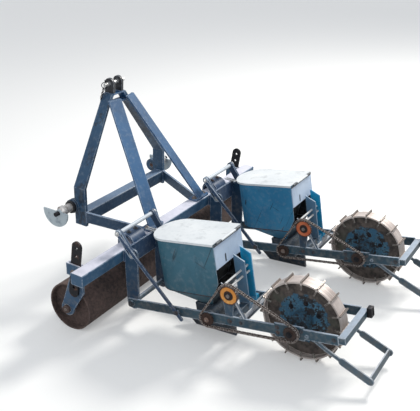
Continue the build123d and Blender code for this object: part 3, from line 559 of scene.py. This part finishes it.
def hitch_finish(name):
    finish = Finish(name)
    spot = finish.noise(34.0, 8.0, 0.65)
    fine = finish.noise(160.0, 6.0)
    from_middle = abs(finish.inside()[Y])
    ring = from_middle.within(*HITCH_RING_Y, 0.0005)
    plate = from_middle.within(*HITCH_PLATE_Y, 0.0005)
    grime = spot.over(0.52, 0.66)
    colour = finish.mix(grime, srgb(206, 202, 198), srgb(112, 92, 80))
    colour = finish.mix(ring, colour, srgb(26, 26, 30))
    pale = finish.mix(spot.over(0.50, 0.70), srgb(176, 188, 194), srgb(120, 134, 146))
    finish.set(
        Base_Color=finish.mix(plate, colour, pale),
        Roughness=(fine * 0.2 + 0.34 + grime * 0.25).clamped(),
        Metallic=((1.0 - ring) * (1.0 - plate) * (1.0 - grime) * 0.6).clamped(),
    )
    finish.bump(fine * 0.5 - grime, 0.35, 0.0006)


hitch_finish("hitch steel")

# %% [markdown]
# ## Drive wheel
#
# Three rings tell the story of a working wheel: the tread that rolls is bare and pinkish grey with
# fine lines round it, the deep ring inside the rim keeps its soil and is dark brown, and the centre
# still shows blue paint between black flakes. The lugs are dark, with tips worn bright. The
# distance from the axle says which ring it is.

# %% Wheel finish
# Radii at which a ring's mask is 0 and at which it is 1
HUB_R = (0.050, 0.040)
CENTRE_R = (0.116, 0.110)
OUTER_EDGE_R = (0.140, 0.150)
TREAD_R = (0.1735, 0.1745)
LUG_R = (0.1832, 0.1840)
SPROCKET_LOW_Y, SPROCKET_HIGH_Y = CHAIN_Y - 0.014, CHAIN_Y + 0.008


def axle_distance(finish, middle):
    """Distance of the surface from an axle that runs across the machine."""
    move, flatten = (-middle.x, 0.0, -middle.z), (1.0, 0.0, 1.0)
    flat = finish.node(
        "ShaderNodeMapping", {}, {"Vector": finish.place, "Location": move, "Scale": flatten}
    )
    return finish.node("ShaderNodeVectorMath", {"operation": "LENGTH"}, {0: flat}, "Value")


def wheel_finish(name):
    finish = Finish(name)
    radius = axle_distance(finish, AXLE)
    broad = finish.noise(9.0, 4.0)
    spot = finish.noise(30.0, 8.0, 0.68)
    fine = finish.noise(150.0, 6.0, 0.7)
    lines = finish.noise(60.0, 3.0, 0.6, (0.12, 6.0, 0.12))
    tread = radius.over(*TREAD_R)
    centre = (radius + (spot - 0.5) * 0.045).over(*CENTRE_R)
    hub = radius.over(*HUB_R)
    soil = finish.mix(spot.over(0.38, 0.62), srgb(46, 40, 38), srgb(96, 86, 80))
    soil = finish.mix(broad.over(0.52, 0.66) * 0.6, soil, srgb(68, 78, 66))
    blue = finish.mix(spot.over(0.44, 0.60), srgb(46, 90, 116), srgb(94, 136, 156))
    flake = (spot * 0.6 + fine * 0.4).over(0.490, 0.520)
    blue = finish.mix(flake, blue, srgb(28, 28, 32))
    worn = (lines * 0.6 + broad * 0.4).over(0.40, 0.62)
    bare = finish.mix(worn, srgb(208, 198, 192), srgb(146, 132, 126))
    edge = finish.edges(0.003) * radius.over(*OUTER_EDGE_R)
    colour = finish.mix(centre, soil, blue)
    colour = finish.mix(hub * 0.55, colour, srgb(34, 40, 48))
    y = finish.inside()[Y]
    for row_y in ROWS.values():
        sprocket = y.within(row_y + SPROCKET_LOW_Y, row_y + SPROCKET_HIGH_Y, 0.001)
        colour = finish.mix(sprocket, colour, finish.mix(spot, srgb(22, 18, 17), srgb(66, 46, 38)))
    colour = finish.mix(tread, colour, bare)
    lug = finish.mix(spot, srgb(52, 46, 42), srgb(104, 92, 84))
    colour = finish.mix(radius.over(*LUG_R) * 0.85, colour, lug)
    finish.set(
        Base_Color=finish.mix(edge * 0.7, colour, srgb(206, 200, 192)),
        Roughness=(fine * 0.15 + 0.62 - tread * 0.18 + edge * -0.15).clamped(),
        Metallic=(tread * 0.35 + edge * 0.2).clamped(),
    )
    finish.bump(spot * 0.6 + fine * 0.4 + tread * lines, 0.5, 0.0012)


wheel_finish("wheel steel")

# %% [markdown]
# ## Idler wheels
#
# The idlers are orange plastic, chalky from the sun and soiled in places. Chain grease blackens
# their toothed edge, and a dark hub covers the bore, so the orange is a ring between two dark ones.

# %% Orange plastic
GREASE_R = (0.0375, 0.0405)


def sun_plastic(name, fresh, chalky):
    finish = Finish(name)
    radius = axle_distance(finish, IDLER)
    broad = finish.noise(14.0, 4.0)
    fine = finish.noise(120.0, 5.0)
    tint = finish.mix(broad.over(0.4, 0.65), fresh, chalky)
    greasy = (radius + (fine - 0.5) * 0.006).over(*GREASE_R)
    soil = finish.noise(24.0, 5.0, 0.6).over(0.50, 0.62)
    tint = finish.mix(soil * 0.55, tint, srgb(96, 62, 36))
    tint = finish.mix(greasy, tint, srgb(62, 36, 26))
    finish.set(
        Base_Color=finish.mix(fine.over(0.55, 0.75) * 0.6, tint, srgb(84, 46, 26)),
        Roughness=(broad * 0.3 + 0.35).clamped(),
    )
    finish.bump(fine, 0.2, 0.0004)


sun_plastic("orange plastic", srgb(206, 130, 46), srgb(224, 160, 84))
sun_plastic("rusty orange", srgb(184, 84, 46), srgb(206, 118, 78))

# %% [markdown]
# ## Which finish goes where
#
# Each CAD node gets its finish by the start of its name. The first line that fits wins. A finish
# that differs between the two row units takes the row from the end of the node's name.

# %% Dress the CAD nodes
NODE_FINISH = (
    ("lug_", "black paint"),
    ("mast_pin", "worn steel"),
    ("hitch_pin", "black steel"),
    ("hitch_ball", "hitch steel"),
    ("depth_bar", "black steel"),
    ("drum_arm", "toolbar blue"),
    ("drum", "drum rust"),
    ("toolbar", "toolbar blue"),
    ("cross_beam", "beam blue"),
    ("side_arm", "beam blue"),
    ("tie_plate", "headstock blue"),
    ("leg", "leg blue"),
    ("brace", "headstock blue"),
    ("saddle", "saddle blue"),
    ("carrier", "carrier blue in shade"),
    ("link_arms", "link blue {row}"),
    ("stay", "stay blue"),
    ("hopper", "hopper blue {row}"),
    ("rear_panel", "panel pale {row}"),
    ("lid", "lid white"),
    ("seed_housing", "housing blue"),
    ("seed_shaft", "oily steel"),
    ("idler_stand", "stand blue {row}"),
    ("idler_left", "orange plastic"),
    ("idler_right", "rusty orange"),
    ("chain", "chain plate"),
    ("wheel", "wheel steel"),
    ("scraper", "scraper steel {row}"),
    ("drag_loop", "drag blue"),
    ("", "rail blue in shade"),
)
for node_name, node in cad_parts.items():
    finish_name = next(finish for start, finish in NODE_FINISH if node_name.startswith(start))
    finish_name = finish_name.format(row=node_name.split("_")[-1])
    for slot in node.material_slots:
        slot.material = FINISHES[finish_name]
print("finishes", len(FINISHES), "nodes dressed", len(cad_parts))

# %% [markdown]
# ## Making small pieces
#
# Bolts, links and hooks start as primitives and are shaped in edit mode. Operators there act on
# what is selected, so a helper first clears the selection and then picks faces or vertices by
# their place. A finished piece keeps its object at the origin and its place in its mesh.


# %% Helpers for pieces
def select(*pieces):
    """Select these objects alone and make the first one active."""
    bpy.ops.object.select_all(action="DESELECT")
    for piece in pieces:
        piece.select_set(True)
    bpy.context.view_layer.objects.active = pieces[0]


def pick(piece, wanted, faces=True):
    """In edit mode, select only the faces, or vertices, that pass a test."""
    bpy.ops.mesh.select_mode(type="FACE" if faces else "VERT")
    bpy.ops.mesh.select_all(action="DESELECT")
    mesh = bmesh.from_edit_mesh(piece.data)
    for part in mesh.faces if faces else mesh.verts:
        part.select_set(wanted(part))
    bmesh.update_edit_mesh(piece.data)


def edit(piece):
    """Apply a piece's transforms and open it in edit mode."""
    select(piece)
    bpy.ops.object.transform_apply(location=True, rotation=True, scale=True)
    bpy.ops.object.mode_set(mode="EDIT")


def done():
    bpy.ops.object.mode_set(mode="OBJECT")
    return bpy.context.object


def join(pieces):
    select(*pieces)
    bpy.ops.object.join()
    return bpy.context.object


SMOOTH_ANGLE = math.radians(40)


def settle(piece, name, body, finish):
    """Name a finished piece, dress it and let it ride on a body."""
    piece.name = name
    piece.data.name = name
    piece.data.materials.clear()
    piece.data.materials.append(FINISHES[finish])
    select(piece)
    bpy.ops.object.shade_smooth_by_angle(angle=SMOOTH_ANGLE)
    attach(piece, body)
    print(name, len(piece.data.polygons), "faces on", body)


def copies(master, places):
    """Copies of a master piece, each with its own mesh, at a list of places, joined to one."""
    parts = []
    for place in places:
        part = master.copy()
        part.data = master.data.copy()
        bpy.context.collection.objects.link(part)
        part.data.transform(place)
        parts.append(part)
    return join(parts)


def round_bar(points, radius, closed=False, order=3, swell=None):
    """A bar of round steel along a line of points, as a mesh."""
    line = bpy.data.curves.new("bar", "CURVE")
    line.dimensions = "3D"
    line.bevel_depth = radius
    line.bevel_resolution = 1
    line.use_fill_caps = True
    spline = line.splines.new("POLY" if order < 3 else "NURBS")
    spline.points.add(len(points) - 1)
    for number, (point, place) in enumerate(zip(spline.points, points)):
        point.co = (*place, 1.0)
        point.radius = swell(number) if swell else 1.0
    spline.use_cyclic_u = closed
    if order >= 3:
        spline.order_u = order
        spline.use_endpoint_u = not closed
        spline.resolution_u = 6
    piece = bpy.data.objects.new("bar", line)
    bpy.context.collection.objects.link(piece)
    select(piece)
    bpy.ops.object.convert(target="MESH")
    return bpy.context.object


def ring(radius, wire, around, across_wire):
    """A torus in edit mode."""
    bpy.ops.mesh.primitive_torus_add(
        major_radius=radius, minor_radius=wire, major_segments=around, minor_segments=across_wire
    )
    piece = bpy.context.object
    edit(piece)
    return piece


def bevel_all(offset, segments):
    """Bevel every edge and leave edit mode."""
    bpy.ops.mesh.select_all(action="SELECT")
    bpy.ops.mesh.bevel(offset=offset, segments=segments, affect="EDGES")
    done()


def block(size, wanted):
    """A block of a given size in edit mode, with the faces selected that pass a test."""
    bpy.ops.mesh.primitive_cube_add(size=1.0)
    piece = bpy.context.object
    piece.scale = size
    edit(piece)
    pick(piece, wanted)
    return piece


# %% [markdown]
# ## Nuts and bolts
#
# One nut serves the whole machine: a washer, a six-sided body whose top edge is bevelled as the
# real one is turned, and the rounded end of the thread. It is modelled pointing up and then
# copied to every place at the size that place needs.


# %% A nut on its washer
def bevelled_cylinder(sides, radius, low, high, offset):
    """An upright cylinder whose upper edge is bevelled."""
    bpy.ops.mesh.primitive_cylinder_add(
        vertices=sides, radius=radius, depth=high - low, location=(0, 0, (low + high) / 2)
    )
    piece = bpy.context.object
    edit(piece)
    pick(piece, lambda face: face.normal.z > 0.9)
    bpy.ops.mesh.bevel(offset=offset, segments=2, affect="EDGES")
    return done()


# The body is 20 mm over its corners
washer = bevelled_cylinder(20, 0.0150, 0.0, 0.0018, 0.0005)
nut_body = bevelled_cylinder(6, 0.0100, 0.0018, 0.0098, 0.0014)
thread = bevelled_cylinder(12, 0.0052, 0.0098, 0.0134, 0.0012)
NUT = join([washer, nut_body, thread])


def nuts(name, body, spots, finish="bolt steel"):
    """Nuts of a body. A spot is a frame, a place in millimetres, a turn and a size."""
    places = [
        place @ mm(*where) @ turn @ Matrix.Scale(size, 4) for place, where, turn, size in spots
    ]
    settle(copies(NUT, places), name, body, finish)


# Places of nuts and the faces that they stand on, in millimetres
SOCKET_X, SOCKET_Z = -67.8, -12.9
SOCKET_OUTER_Y, SOCKET_INNER_Y = 719.3, 691.0
BRACE_NUT_Y = (168.0, 256.0)
TUBE_X, TUBE_Z = 25.0, 125.0
ARM_FOOT_X, ARM_FOOT_Z = 96.0, 32.0
LINK_FACE_Y = 139.0
STAY_END_X, STAY_FACE_Y = 265.0, 145.0
ARM_WEB_Y = 125.0
RAIL_FACE_Y = 129.0
BRACE_FOOT_Z = 39.0
SADDLE_NUT_Y, SADDLE_TOP_Z = 26.0, 77.0
# Nuts on the outside of each rail: x, z and size
RAIL_NUTS = (
    (540.0, 0.0, 0.8),
    (596.0, 0.0, 0.6),
    (772.0, 12.0, 0.65),
    (772.0, -12.0, 0.65),
    (881.0, 12.0, 0.65),
    (1024.0, 0.0, 0.7),
)
front_spots = []
for sign in BOTH:
    front_spots += [
        (FRONT, (SOCKET_X, sign * SOCKET_OUTER_Y, SOCKET_Z), OUTWARD[sign], 1.1),
        (FRONT, (SOCKET_X, sign * SOCKET_INNER_Y, SOCKET_Z), OUTWARD[-sign], 1.0),
    ]
    front_spots += [(FRONT, (0.0, sign * y, BRACE_FOOT_Z), UP, 0.9) for y in BRACE_NUT_Y]
nuts("nuts_front", "frame", front_spots)
for row, row_y in ROWS.items():
    middle = 1000 * row_y
    level = unit(row)
    arm_spots = [
        (FRONT, (TUBE_X, middle + LINK_FACE_Y, TUBE_Z), RIGHT, 1.15),
        (FRONT, (TUBE_X, middle - STAY_FACE_Y, TUBE_Z), LEFT, 0.8),
        (FRONT, (ARM_FOOT_X, middle - ARM_WEB_Y, ARM_FOOT_Z), LEFT, 1.25),
        (FRONT, (ARM_FOOT_X, middle + ARM_WEB_Y, ARM_FOOT_Z), RIGHT, 1.25),
    ]
    nuts(f"nuts_arms_{row}", "frame", arm_spots, "worn steel")
    unit_spots = [
        (level, (STAY_END_X, -STAY_FACE_Y, 0.0), LEFT, 0.8),
        (FRONT, (0.0, middle - SADDLE_NUT_Y, SADDLE_TOP_Z), UP, 0.8),
        (FRONT, (0.0, middle + SADDLE_NUT_Y, SADDLE_TOP_Z), UP, 0.8),
    ]
    for sign, out in OUTWARD.items():
        unit_spots.append((level, (0.0, sign * LINK_FACE_Y, 0.0), out, 1.0))
        unit_spots += [(level, (x, sign * RAIL_FACE_Y, z), out, size) for x, z, size in RAIL_NUTS]
    nuts(f"nuts_{row}", "frame", unit_spots, "dark bolt")

# %% Nuts on the turning parts: wheel discs, axle ends, seed shafts and the drum's stubs
DISC_BOLTS = 6
DISC_BOLT_R = 74.0
DISC_FACE_Y = 7.4
FIRST_BOLT = 0.4
AXLE_END_Y = 141.0
SHAFT_END_Y = -152.0
for row in ROWS:
    upright = Matrix.Translation((AXLE.x, ROWS[row], AXLE.z))
    spots = [
        (upright, (0.0, SHAFT_END_Y, 0.0), LEFT, 0.95),
        (upright, (0.0, AXLE_END_Y, 0.0), RIGHT, 0.95),
    ]
    for number in range(DISC_BOLTS):
        turn = math.tau * number / DISC_BOLTS + FIRST_BOLT
        x = DISC_BOLT_R * math.cos(turn)
        z = DISC_BOLT_R * math.sin(turn)
        for sign, out in OUTWARD.items():
            spots.append((upright, (x, sign * DISC_FACE_Y, z), out, 0.75))
    nuts(f"nuts_wheel_{row}", f"wheel_{row}", spots, "black steel")
    seed_end = (1000 * SEED_X, SHAFT_END_Y, 1000 * SEED_Z)
    idler_end = (1000 * IDLER_X, SHAFT_END_Y, 1000 * IDLER_Z)
    nuts(f"nut_seed_{row}", f"seed_shaft_{row}", [(unit(row), seed_end, LEFT, 0.8)])
    nuts(f"nut_idler_{row}", "frame", [(unit(row), idler_end, LEFT, 0.6)])
upright = Matrix.Translation(box_middle("drum"))
drum_low, drum_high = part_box("drum")
STUB_END_Y = 1000 * (drum_high[Y] - drum_low[Y]) / 2
spots = [(upright, (0.0, sign * STUB_END_Y, 0.0), out, 0.5) for sign, out in OUTWARD.items()]
nuts("nuts_drum", "drum", spots)
bpy.data.objects.remove(NUT)

# %% [markdown]
# ## Roller chains
#
# The CAD chain is right in its place but its links are plain prisms. A real roller chain is plates
# outside, rollers inside: each link is a pair of oval plates, alternately inner and outer ones,
# and a roller turns on every pin. The run is worked out as a belt round the three chain wheels:
# straight tangents between them, and arcs on them. Pins then sit on it at equal steps.

# %% The belt round the three chain wheels, each given as x, z and radius
CHAIN_PITCH = 0.0127
PIN_REACH = 0.0053
CHAIN_WHEELS = ((SEED_X, SEED_Z, 0.031), (AXLE_X, 0.0, 0.031), (IDLER_X, IDLER_Z, 0.045))
ARC_STEPS = 24


def belt(wheels):
    """Points on a belt round wheels given as x, z and radius, in the order that it turns left."""
    normals = []
    for number, (x, z, radius) in enumerate(wheels):
        next_x, next_z, next_radius = wheels[(number + 1) % len(wheels)]
        course = math.atan2(next_z - z, next_x - x)
        span = math.hypot(next_x - x, next_z - z)
        normals.append(course - math.acos((radius - next_radius) / span))
    line = []
    for number, (x, z, radius) in enumerate(wheels):
        first = normals[number - 1]
        turn = (normals[number] - first) % math.tau
        for step in range(ARC_STEPS + 1):
            angle = first + turn * step / ARC_STEPS
            line.append(Vector((x + radius * math.cos(angle), 0, z + radius * math.sin(angle))))
    return line


def even_steps(line, pitch):
    """Points at equal distances along a closed line, an even number of them."""
    runs = list(zip(line, line[1:] + line[:1]))
    total = sum((stop - start).length for start, stop in runs)
    count = 2 * round(total / (2 * pitch))
    spots, walked = [], 0.0
    for start, stop in runs:
        length = (stop - start).length
        while len(spots) < count and len(spots) * total / count <= walked + length:
            ahead = len(spots) * total / count - walked
            spots.append(start.lerp(stop, ahead / max(length, 1e-9)))
        walked += length
    return spots


def pin_circle(radius):
    """Radius on which the pins go round a chain wheel, so that the plates clear it."""
    return (radius + PIN_REACH) / math.cos(CHAIN_PITCH / (2 * radius))


RUN = belt([(x, z, pin_circle(radius)) for x, z, radius in CHAIN_WHEELS])
PINS = even_steps(RUN, CHAIN_PITCH)
print("chain pins", len(PINS))

# %% Links, rollers and pins
PLATE_HALF_HEIGHT = 0.0047
PLATE_THICK = 0.0012
PLATE_WAIST = 0.74
OUTER_APART, INNER_APART = 0.0059, 0.0046
ROLLER_R, ROLLER_WIDTH = 0.0040, 0.0074
PIN_R, PIN_WIDTH = 0.0017, 0.0130


def chain_plate():
    """An oval plate with a slight waist."""
    bpy.ops.mesh.primitive_cylinder_add(vertices=12, radius=PLATE_HALF_HEIGHT, depth=PLATE_THICK)
    plate = bpy.context.object
    edit(plate)
    for sign in BOTH:
        pick(plate, lambda vertex: sign * vertex.co.x > 0.0002, faces=False)
        bpy.ops.transform.translate(value=(sign * CHAIN_PITCH / 2, 0.0, 0.0))
    pick(plate, lambda vertex: abs(abs(vertex.co.y) - PLATE_HALF_HEIGHT) < 1e-5, faces=False)
    bpy.ops.transform.resize(value=(1.0, PLATE_WAIST, 1.0), center_override=(0, 0, 0))
    return done()


def cross_bar(sides, radius, width):
    """A roller or a pin, with a small step in each end."""
    bpy.ops.mesh.primitive_cylinder_add(vertices=sides, radius=radius, depth=width)
    bar = bpy.context.object
    edit(bar)
    pick(bar, lambda face: abs(face.normal.z) > 0.9)
    bpy.ops.mesh.inset(thickness=radius * 0.2, depth=radius * 0.15)
    return done()


plate = chain_plate()
roller = cross_bar(8, ROLLER_R, ROLLER_WIDTH)
pin = cross_bar(6, PIN_R, PIN_WIDTH)
for row in ROWS:
    level = unit(row)
    plate_places, pin_places = [], []
    for number, start in enumerate(PINS):
        stop = PINS[(number + 1) % len(PINS)]
        middle = (start + stop) / 2
        turn = math.atan2(stop.z - start.z, stop.x - start.x)
        apart = INNER_APART if number % 2 else OUTER_APART
        for sign in BOTH:
            spot = Matrix.Translation((middle.x, CHAIN_Y + sign * apart, middle.z))
            plate_places.append(level @ spot @ Matrix.Rotation(-turn, 4, "Y") @ LEFT)
        here = Matrix.Translation((start.x, CHAIN_Y, start.z))
        pin_places.append(level @ here @ LEFT)
    plates = copies(plate, plate_places)
    rollers = copies(roller, pin_places)
    pins = copies(pin, pin_places)
    for part, finish in ((plates, "plate"), (rollers, "roller"), (pins, "plate")):
        part.data.materials.append(FINISHES[f"chain {finish}"])
    chain = join([plates, rollers, pins])
    chain.name = f"roller_chain_{row}"
    chain.data.name = chain.name
    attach(chain, "frame")
    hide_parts(f"chain_{row}")
    print(chain.name, len(chain.data.polygons), "faces")
for master in (plate, roller, pin):
    bpy.data.objects.remove(master)

# %% [markdown]
# ## Idler hubs
#
# The idler has a dark raised hub round its bore. A torus flattened in edit mode gives its domed
# shape, and the bore stays open for the pin.

# %% Idler hubs
HUB_RING_R = 0.0155
HUB_WIRE_R = 0.0068
HUB_FLATNESS = 0.62
IDLER_FACE_Y = -146.0
for row in ROWS:
    hub = ring(HUB_RING_R, HUB_WIRE_R, 36, 10)
    bpy.ops.mesh.select_all(action="SELECT")
    bpy.ops.transform.resize(value=(1.0, 1.0, HUB_FLATNESS), center_override=(0, 0, 0))
    done()
    hub.data.transform(unit(row) @ mm(1000 * IDLER_X, IDLER_FACE_Y, 1000 * IDLER_Z) @ LEFT)
    settle(hub, f"idler_hub_{row}", f"idler_{row}", "oily steel")

# %% [markdown]
# ## Weld beads
#
# A weld is a row of overlapping drops. A thin bar whose radius swells and shrinks every few
# millimetres looks just like it. The beads run round the ends of the beams and of the rear bars,
# under the lugs and round the feet of the braces, and a thin one closes the hopper's waist.

# %% Weld beads
BEAD_STEP = 0.0035
BEAD_SWELL = 0.22


def bead(place, corners, radius, closed=True, step=BEAD_STEP):
    """A weld bead along straight runs between corners, given in millimetres."""
    spots = [place @ (Vector(corner) / 1000) for corner in corners]
    runs = list(zip(spots, spots[1:] + spots[:1])) if closed else list(zip(spots, spots[1:]))
    line = []
    for start, stop in runs:
        count = max(1, round((stop - start).length / step))
        line += [start.lerp(stop, number / count) for number in range(count)]
    if not closed:
        line.append(spots[-1])
    return round_bar(
        line, radius, closed, 2, lambda number: 1.0 + BEAD_SWELL * math.sin(2.2 * number)
    )


def box_run(axis, level, first, second):
    """Corners of a rectangle at a level of one axis, from the ranges of the other two."""
    corners = []
    for a, b in ((0, 0), (1, 0), (1, 1), (0, 1)):
        corner = [first[a], second[b]]
        corner.insert(axis, level)
        corners.append(corner)
    return corners


def about(middle, half):
    """The range of a given half width about a middle."""
    return middle - half, middle + half


beads = []
for sign in BOTH:
    beads += [
        bead(FRONT, box_run(Y, sign * 325.5, (-375.0, -317.0), (0.0, 66.0)), 0.0030),
        bead(FRONT, box_run(X, -317.0, about(sign * 333.5, 6), (10.0, 66.0)), 0.0028),
        bead(FRONT, box_run(X, -33.0, about(sign * 235, 6), (-27.0, 23.0)), 0.0028),
        bead(FRONT, box_run(Z, 598.0, (-417.0, -363.0), about(sign * 33.0, 7)), 0.0026),
    ]
    turned = Matrix.Rotation(sign * math.radians(14), 4, "Z")
    foot = FRONT @ mm(14.0, sign * 212.0, BRACE_FOOT_Z) @ turned
    beads.append(bead(foot, box_run(Z, 0.0, (-6.5, 6.5), (-37.5, 37.5)), 0.0032))
settle(join(beads), "welds_front", "frame", "headstock blue")

# %% Hopper seams and the welds of the rear bars, in millimetres
HOPPER_FRONT, HOPPER_REAR, HOPPER_HALF, HOPPER_CORNER, WAIST = 150.0, 463.0, 118.0, 100.0, 98.0
SEAM_STEPS = 18
REAR_BAR_X = 1042.0
for row in ROWS:
    seam = [(HOPPER_REAR, HOPPER_HALF, WAIST)]
    for number in range(SEAM_STEPS + 1):
        turn = math.pi / 2 + math.pi * number / SEAM_STEPS
        x = HOPPER_FRONT + HOPPER_CORNER * (1 + math.cos(turn))
        seam.append((x, HOPPER_HALF * math.sin(turn), WAIST))
    seam.append((HOPPER_REAR, -HOPPER_HALF, WAIST))
    seam_bead = bead(unit(row), seam, 0.0020, closed=False, step=0.006)
    settle(seam_bead, f"hopper_seam_{row}", "frame", "dark cast")
    ends = [
        bead(unit(row), box_run(X, REAR_BAR_X, about(sign * 125.0, 4), (-15.0, 15.0)), 0.0025)
        for sign in BOTH
    ]
    settle(join(ends), f"welds_{row}", "frame", "rail blue in shade")

# %% [markdown]
# ## Linch pin and chain of the top link
#
# A linch pin stops the top-link pin: a short pin with a head, and a spring ring that snaps over
# the end of the bigger pin. A few oval chain links tie it to the leg, so that it isn't lost.

# %% Linch pin
MAST_X, MAST_Z = -388.0, 648.0
LINCH_Y = -66.0
STEM_RISES = (20, 0, -19)
SPRING_KINK = 0.62


def front_line(points):
    """Points given in millimetres of the front frame."""
    return [FRONT @ (Vector(point) / 1000) for point in points]


stem = round_bar(front_line((MAST_X, LINCH_Y, MAST_Z + rise) for rise in STEM_RISES), 0.0032)
head = bevelled_cylinder(12, 0.0062, -0.004, 0.005, 0.0012)
head.data.transform(FRONT @ mm(MAST_X, LINCH_Y, MAST_Z + 19))
spring = ring(0.0165, 0.0019, 28, 8)
pick(spring, lambda vertex: vertex.co.y > 0.001, faces=False)
bpy.ops.transform.rotate(value=SPRING_KINK, orient_axis="X", center_override=(0, 0, 0))
done()
spring.data.transform(FRONT @ mm(MAST_X, LINCH_Y - 14, MAST_Z) @ LEFT)
settle(join([stem, head, spring]), "linch_pin", "frame", "black steel")

# %% Chain of the linch pin
LINK_COUNT = 7
LINK_STRETCH = 0.0026
link = ring(0.0050, 0.0014, 16, 6)
for sign in BOTH:
    pick(link, lambda vertex: sign * vertex.co.x > 0.0005, faces=False)
    bpy.ops.transform.translate(value=(sign * LINK_STRETCH, 0.0, 0.0))
done()
chain_start, chain_end = front_line([(-396.0, -72.0, 634.0), (-413.0, -80.0, 571.0)])
fall = chain_end - chain_start
along = fall.to_track_quat("X", "Z").to_matrix().to_4x4()
places = []
for number in range(LINK_COUNT):
    middle = chain_start + fall * (number + 0.5) / LINK_COUNT
    quarter = Matrix.Rotation(math.radians(90) * (number % 2), 4, "X")
    places.append(Matrix.Translation(middle) @ along @ quarter)
settle(copies(link, places), "linch_chain", "frame", "black steel")
bpy.data.objects.remove(link)

# %% [markdown]
# ## Hooks, gussets and end blocks
#
# A bright U of round steel hangs over the plate behind each saddle, a small bare gusset stands
# on the left rail of each row unit, and its right rail ends in a hollow black block.

# %% Saddle hooks
HOOK_Z = 51.6
HOOK_BEND = [(14, 92), (60, 92), (78, 92), (84, 101), (78, 110), (60, 110), (14, 110)]
for row, row_y in ROWS.items():
    line = front_line((x, 1000 * row_y + y, HOOK_Z) for x, y in HOOK_BEND)
    settle(round_bar(line, 0.0036), f"saddle_hook_{row}", "frame", "worn steel")

# %% Gussets: a small bare triangle beside the idler's strut
GUSSET_PLACE = mm(592.0, -119.0, 27.0)
GUSSET_SIZE = Vector((0.050, 0.004, 0.034))
GUSSET_TIP = 0.12
for row in ROWS:
    gusset = block(GUSSET_SIZE, lambda face: face.normal.z > 0.9)
    rear_edge = (GUSSET_SIZE.x / 2, 0, 0)
    bpy.ops.transform.resize(value=(GUSSET_TIP, 1.0, 1.0), center_override=rear_edge)
    bevel_all(0.0006, 1)
    gusset.data.transform(unit(row) @ GUSSET_PLACE)
    settle(gusset, f"rail_gusset_{row}", "frame", "worn steel")

# %% End blocks: open at the rear, with a rim
END_PLACE = mm(1083.0, 122.0, 6.0)
END_SIZE = Vector((0.022, 0.032, 0.044))
END_RIM, END_DEPTH = 0.006, 0.004
for row in ROWS:
    end = block(END_SIZE, lambda face: face.normal.x > 0.9)
    bpy.ops.mesh.inset(thickness=END_RIM, depth=0.0)
    bpy.ops.mesh.extrude_region_move(TRANSFORM_OT_translate={"value": (-END_DEPTH, 0.0, 0.0)})
    bevel_all(0.0015, 2)
    end.data.transform(unit(row) @ END_PLACE)
    settle(end, f"rail_end_block_{row}", "frame", "black steel")

# %% [markdown]
# ## Floor, light and camera
#
# The machine stands on a plain pale floor under soft light, seen as in the photograph: from a
# little above, on its left, behind the wheels. The floor glows a little for the camera alone, so
# the background is pale while the light on the machine stays plain, and its shadow still shows.

# %% Stage
bpy.ops.mesh.primitive_plane_add(size=60, location=(0, 0, 0))
floor = bpy.context.object
floor.name = "floor"
floor_finish = Finish("floor")
glow = floor_finish.node("ShaderNodeLightPath", out="Is Camera Ray")
floor_finish.set(
    Base_Color=srgb(214, 214, 212),
    Roughness=0.9,
    Emission_Color=floor_finish.mix(glow, (0.0, 0.0, 0.0), (0.26, 0.26, 0.26)),
    Emission_Strength=1.0,
)
floor.data.materials.append(floor_finish.material)

world = bpy.data.worlds.new("studio")
bpy.context.scene.world = world
world.use_nodes = True
sky = world.node_tree
path = sky.nodes.new("ShaderNodeLightPath")
seen = Wire(sky, path.outputs["Is Camera Ray"]) + Wire(sky, path.outputs["Is Glossy Ray"])
seen = (seen + Wire(sky, path.outputs["Is Transmission Ray"])).clamped()
backdrop = sky.nodes["Background"]
backdrop.inputs["Color"].default_value = (0.90, 0.94, 1.0, 1.0)
sky.links.new((seen * 0.30 + 0.62).socket, backdrop.inputs["Strength"])


def area_light(name, place, target, size, power, tint):
    bpy.ops.object.light_add(type="AREA", location=place)
    lamp = bpy.context.object
    lamp.name = name
    lamp.data.shape = "DISK"
    lamp.data.size = size
    lamp.data.energy = power
    lamp.data.color = tint
    lamp.rotation_euler = (Vector(target) - Vector(place)).to_track_quat("-Z", "Y").to_euler()


area_light("sun side", (1.1, 3.9, 4.4), (0.0, 0.0, 0.3), 1.6, 330, (1.0, 0.97, 0.92))
area_light("sky fill", (1.5, -4.0, 3.6), (0.0, 0.0, 0.3), 4.0, 60, (0.92, 0.96, 1.0))

# %% Camera
CAMERA_PLACE = Vector((1.6078, -2.7512, 1.8173))
CAMERA_AIM = Vector((-0.5011, 0.7739, -0.3873))
CAMERA_UP = Vector((-0.1685, 0.3518, 0.9208))
LENS_PIXELS = 710.2
PHOTO_WIDTH = 420
SENSOR_WIDTH = 36.0

aim = CAMERA_AIM.normalized()
side = aim.cross(CAMERA_UP).normalized()
above = side.cross(aim)
camera_data = bpy.data.cameras.new("photo camera")
camera = bpy.data.objects.new("photo camera", camera_data)
bpy.context.collection.objects.link(camera)
turned = Matrix((side, above, -aim)).transposed().to_4x4()
camera.matrix_world = Matrix.Translation(CAMERA_PLACE) @ turned
camera_data.sensor_fit = "HORIZONTAL"
camera_data.sensor_width = SENSOR_WIDTH
camera_data.lens = LENS_PIXELS / PHOTO_WIDTH * SENSOR_WIDTH
camera_data.clip_end = 100.0
bpy.context.scene.camera = camera
bpy.context.scene.view_settings.view_transform = "Standard"
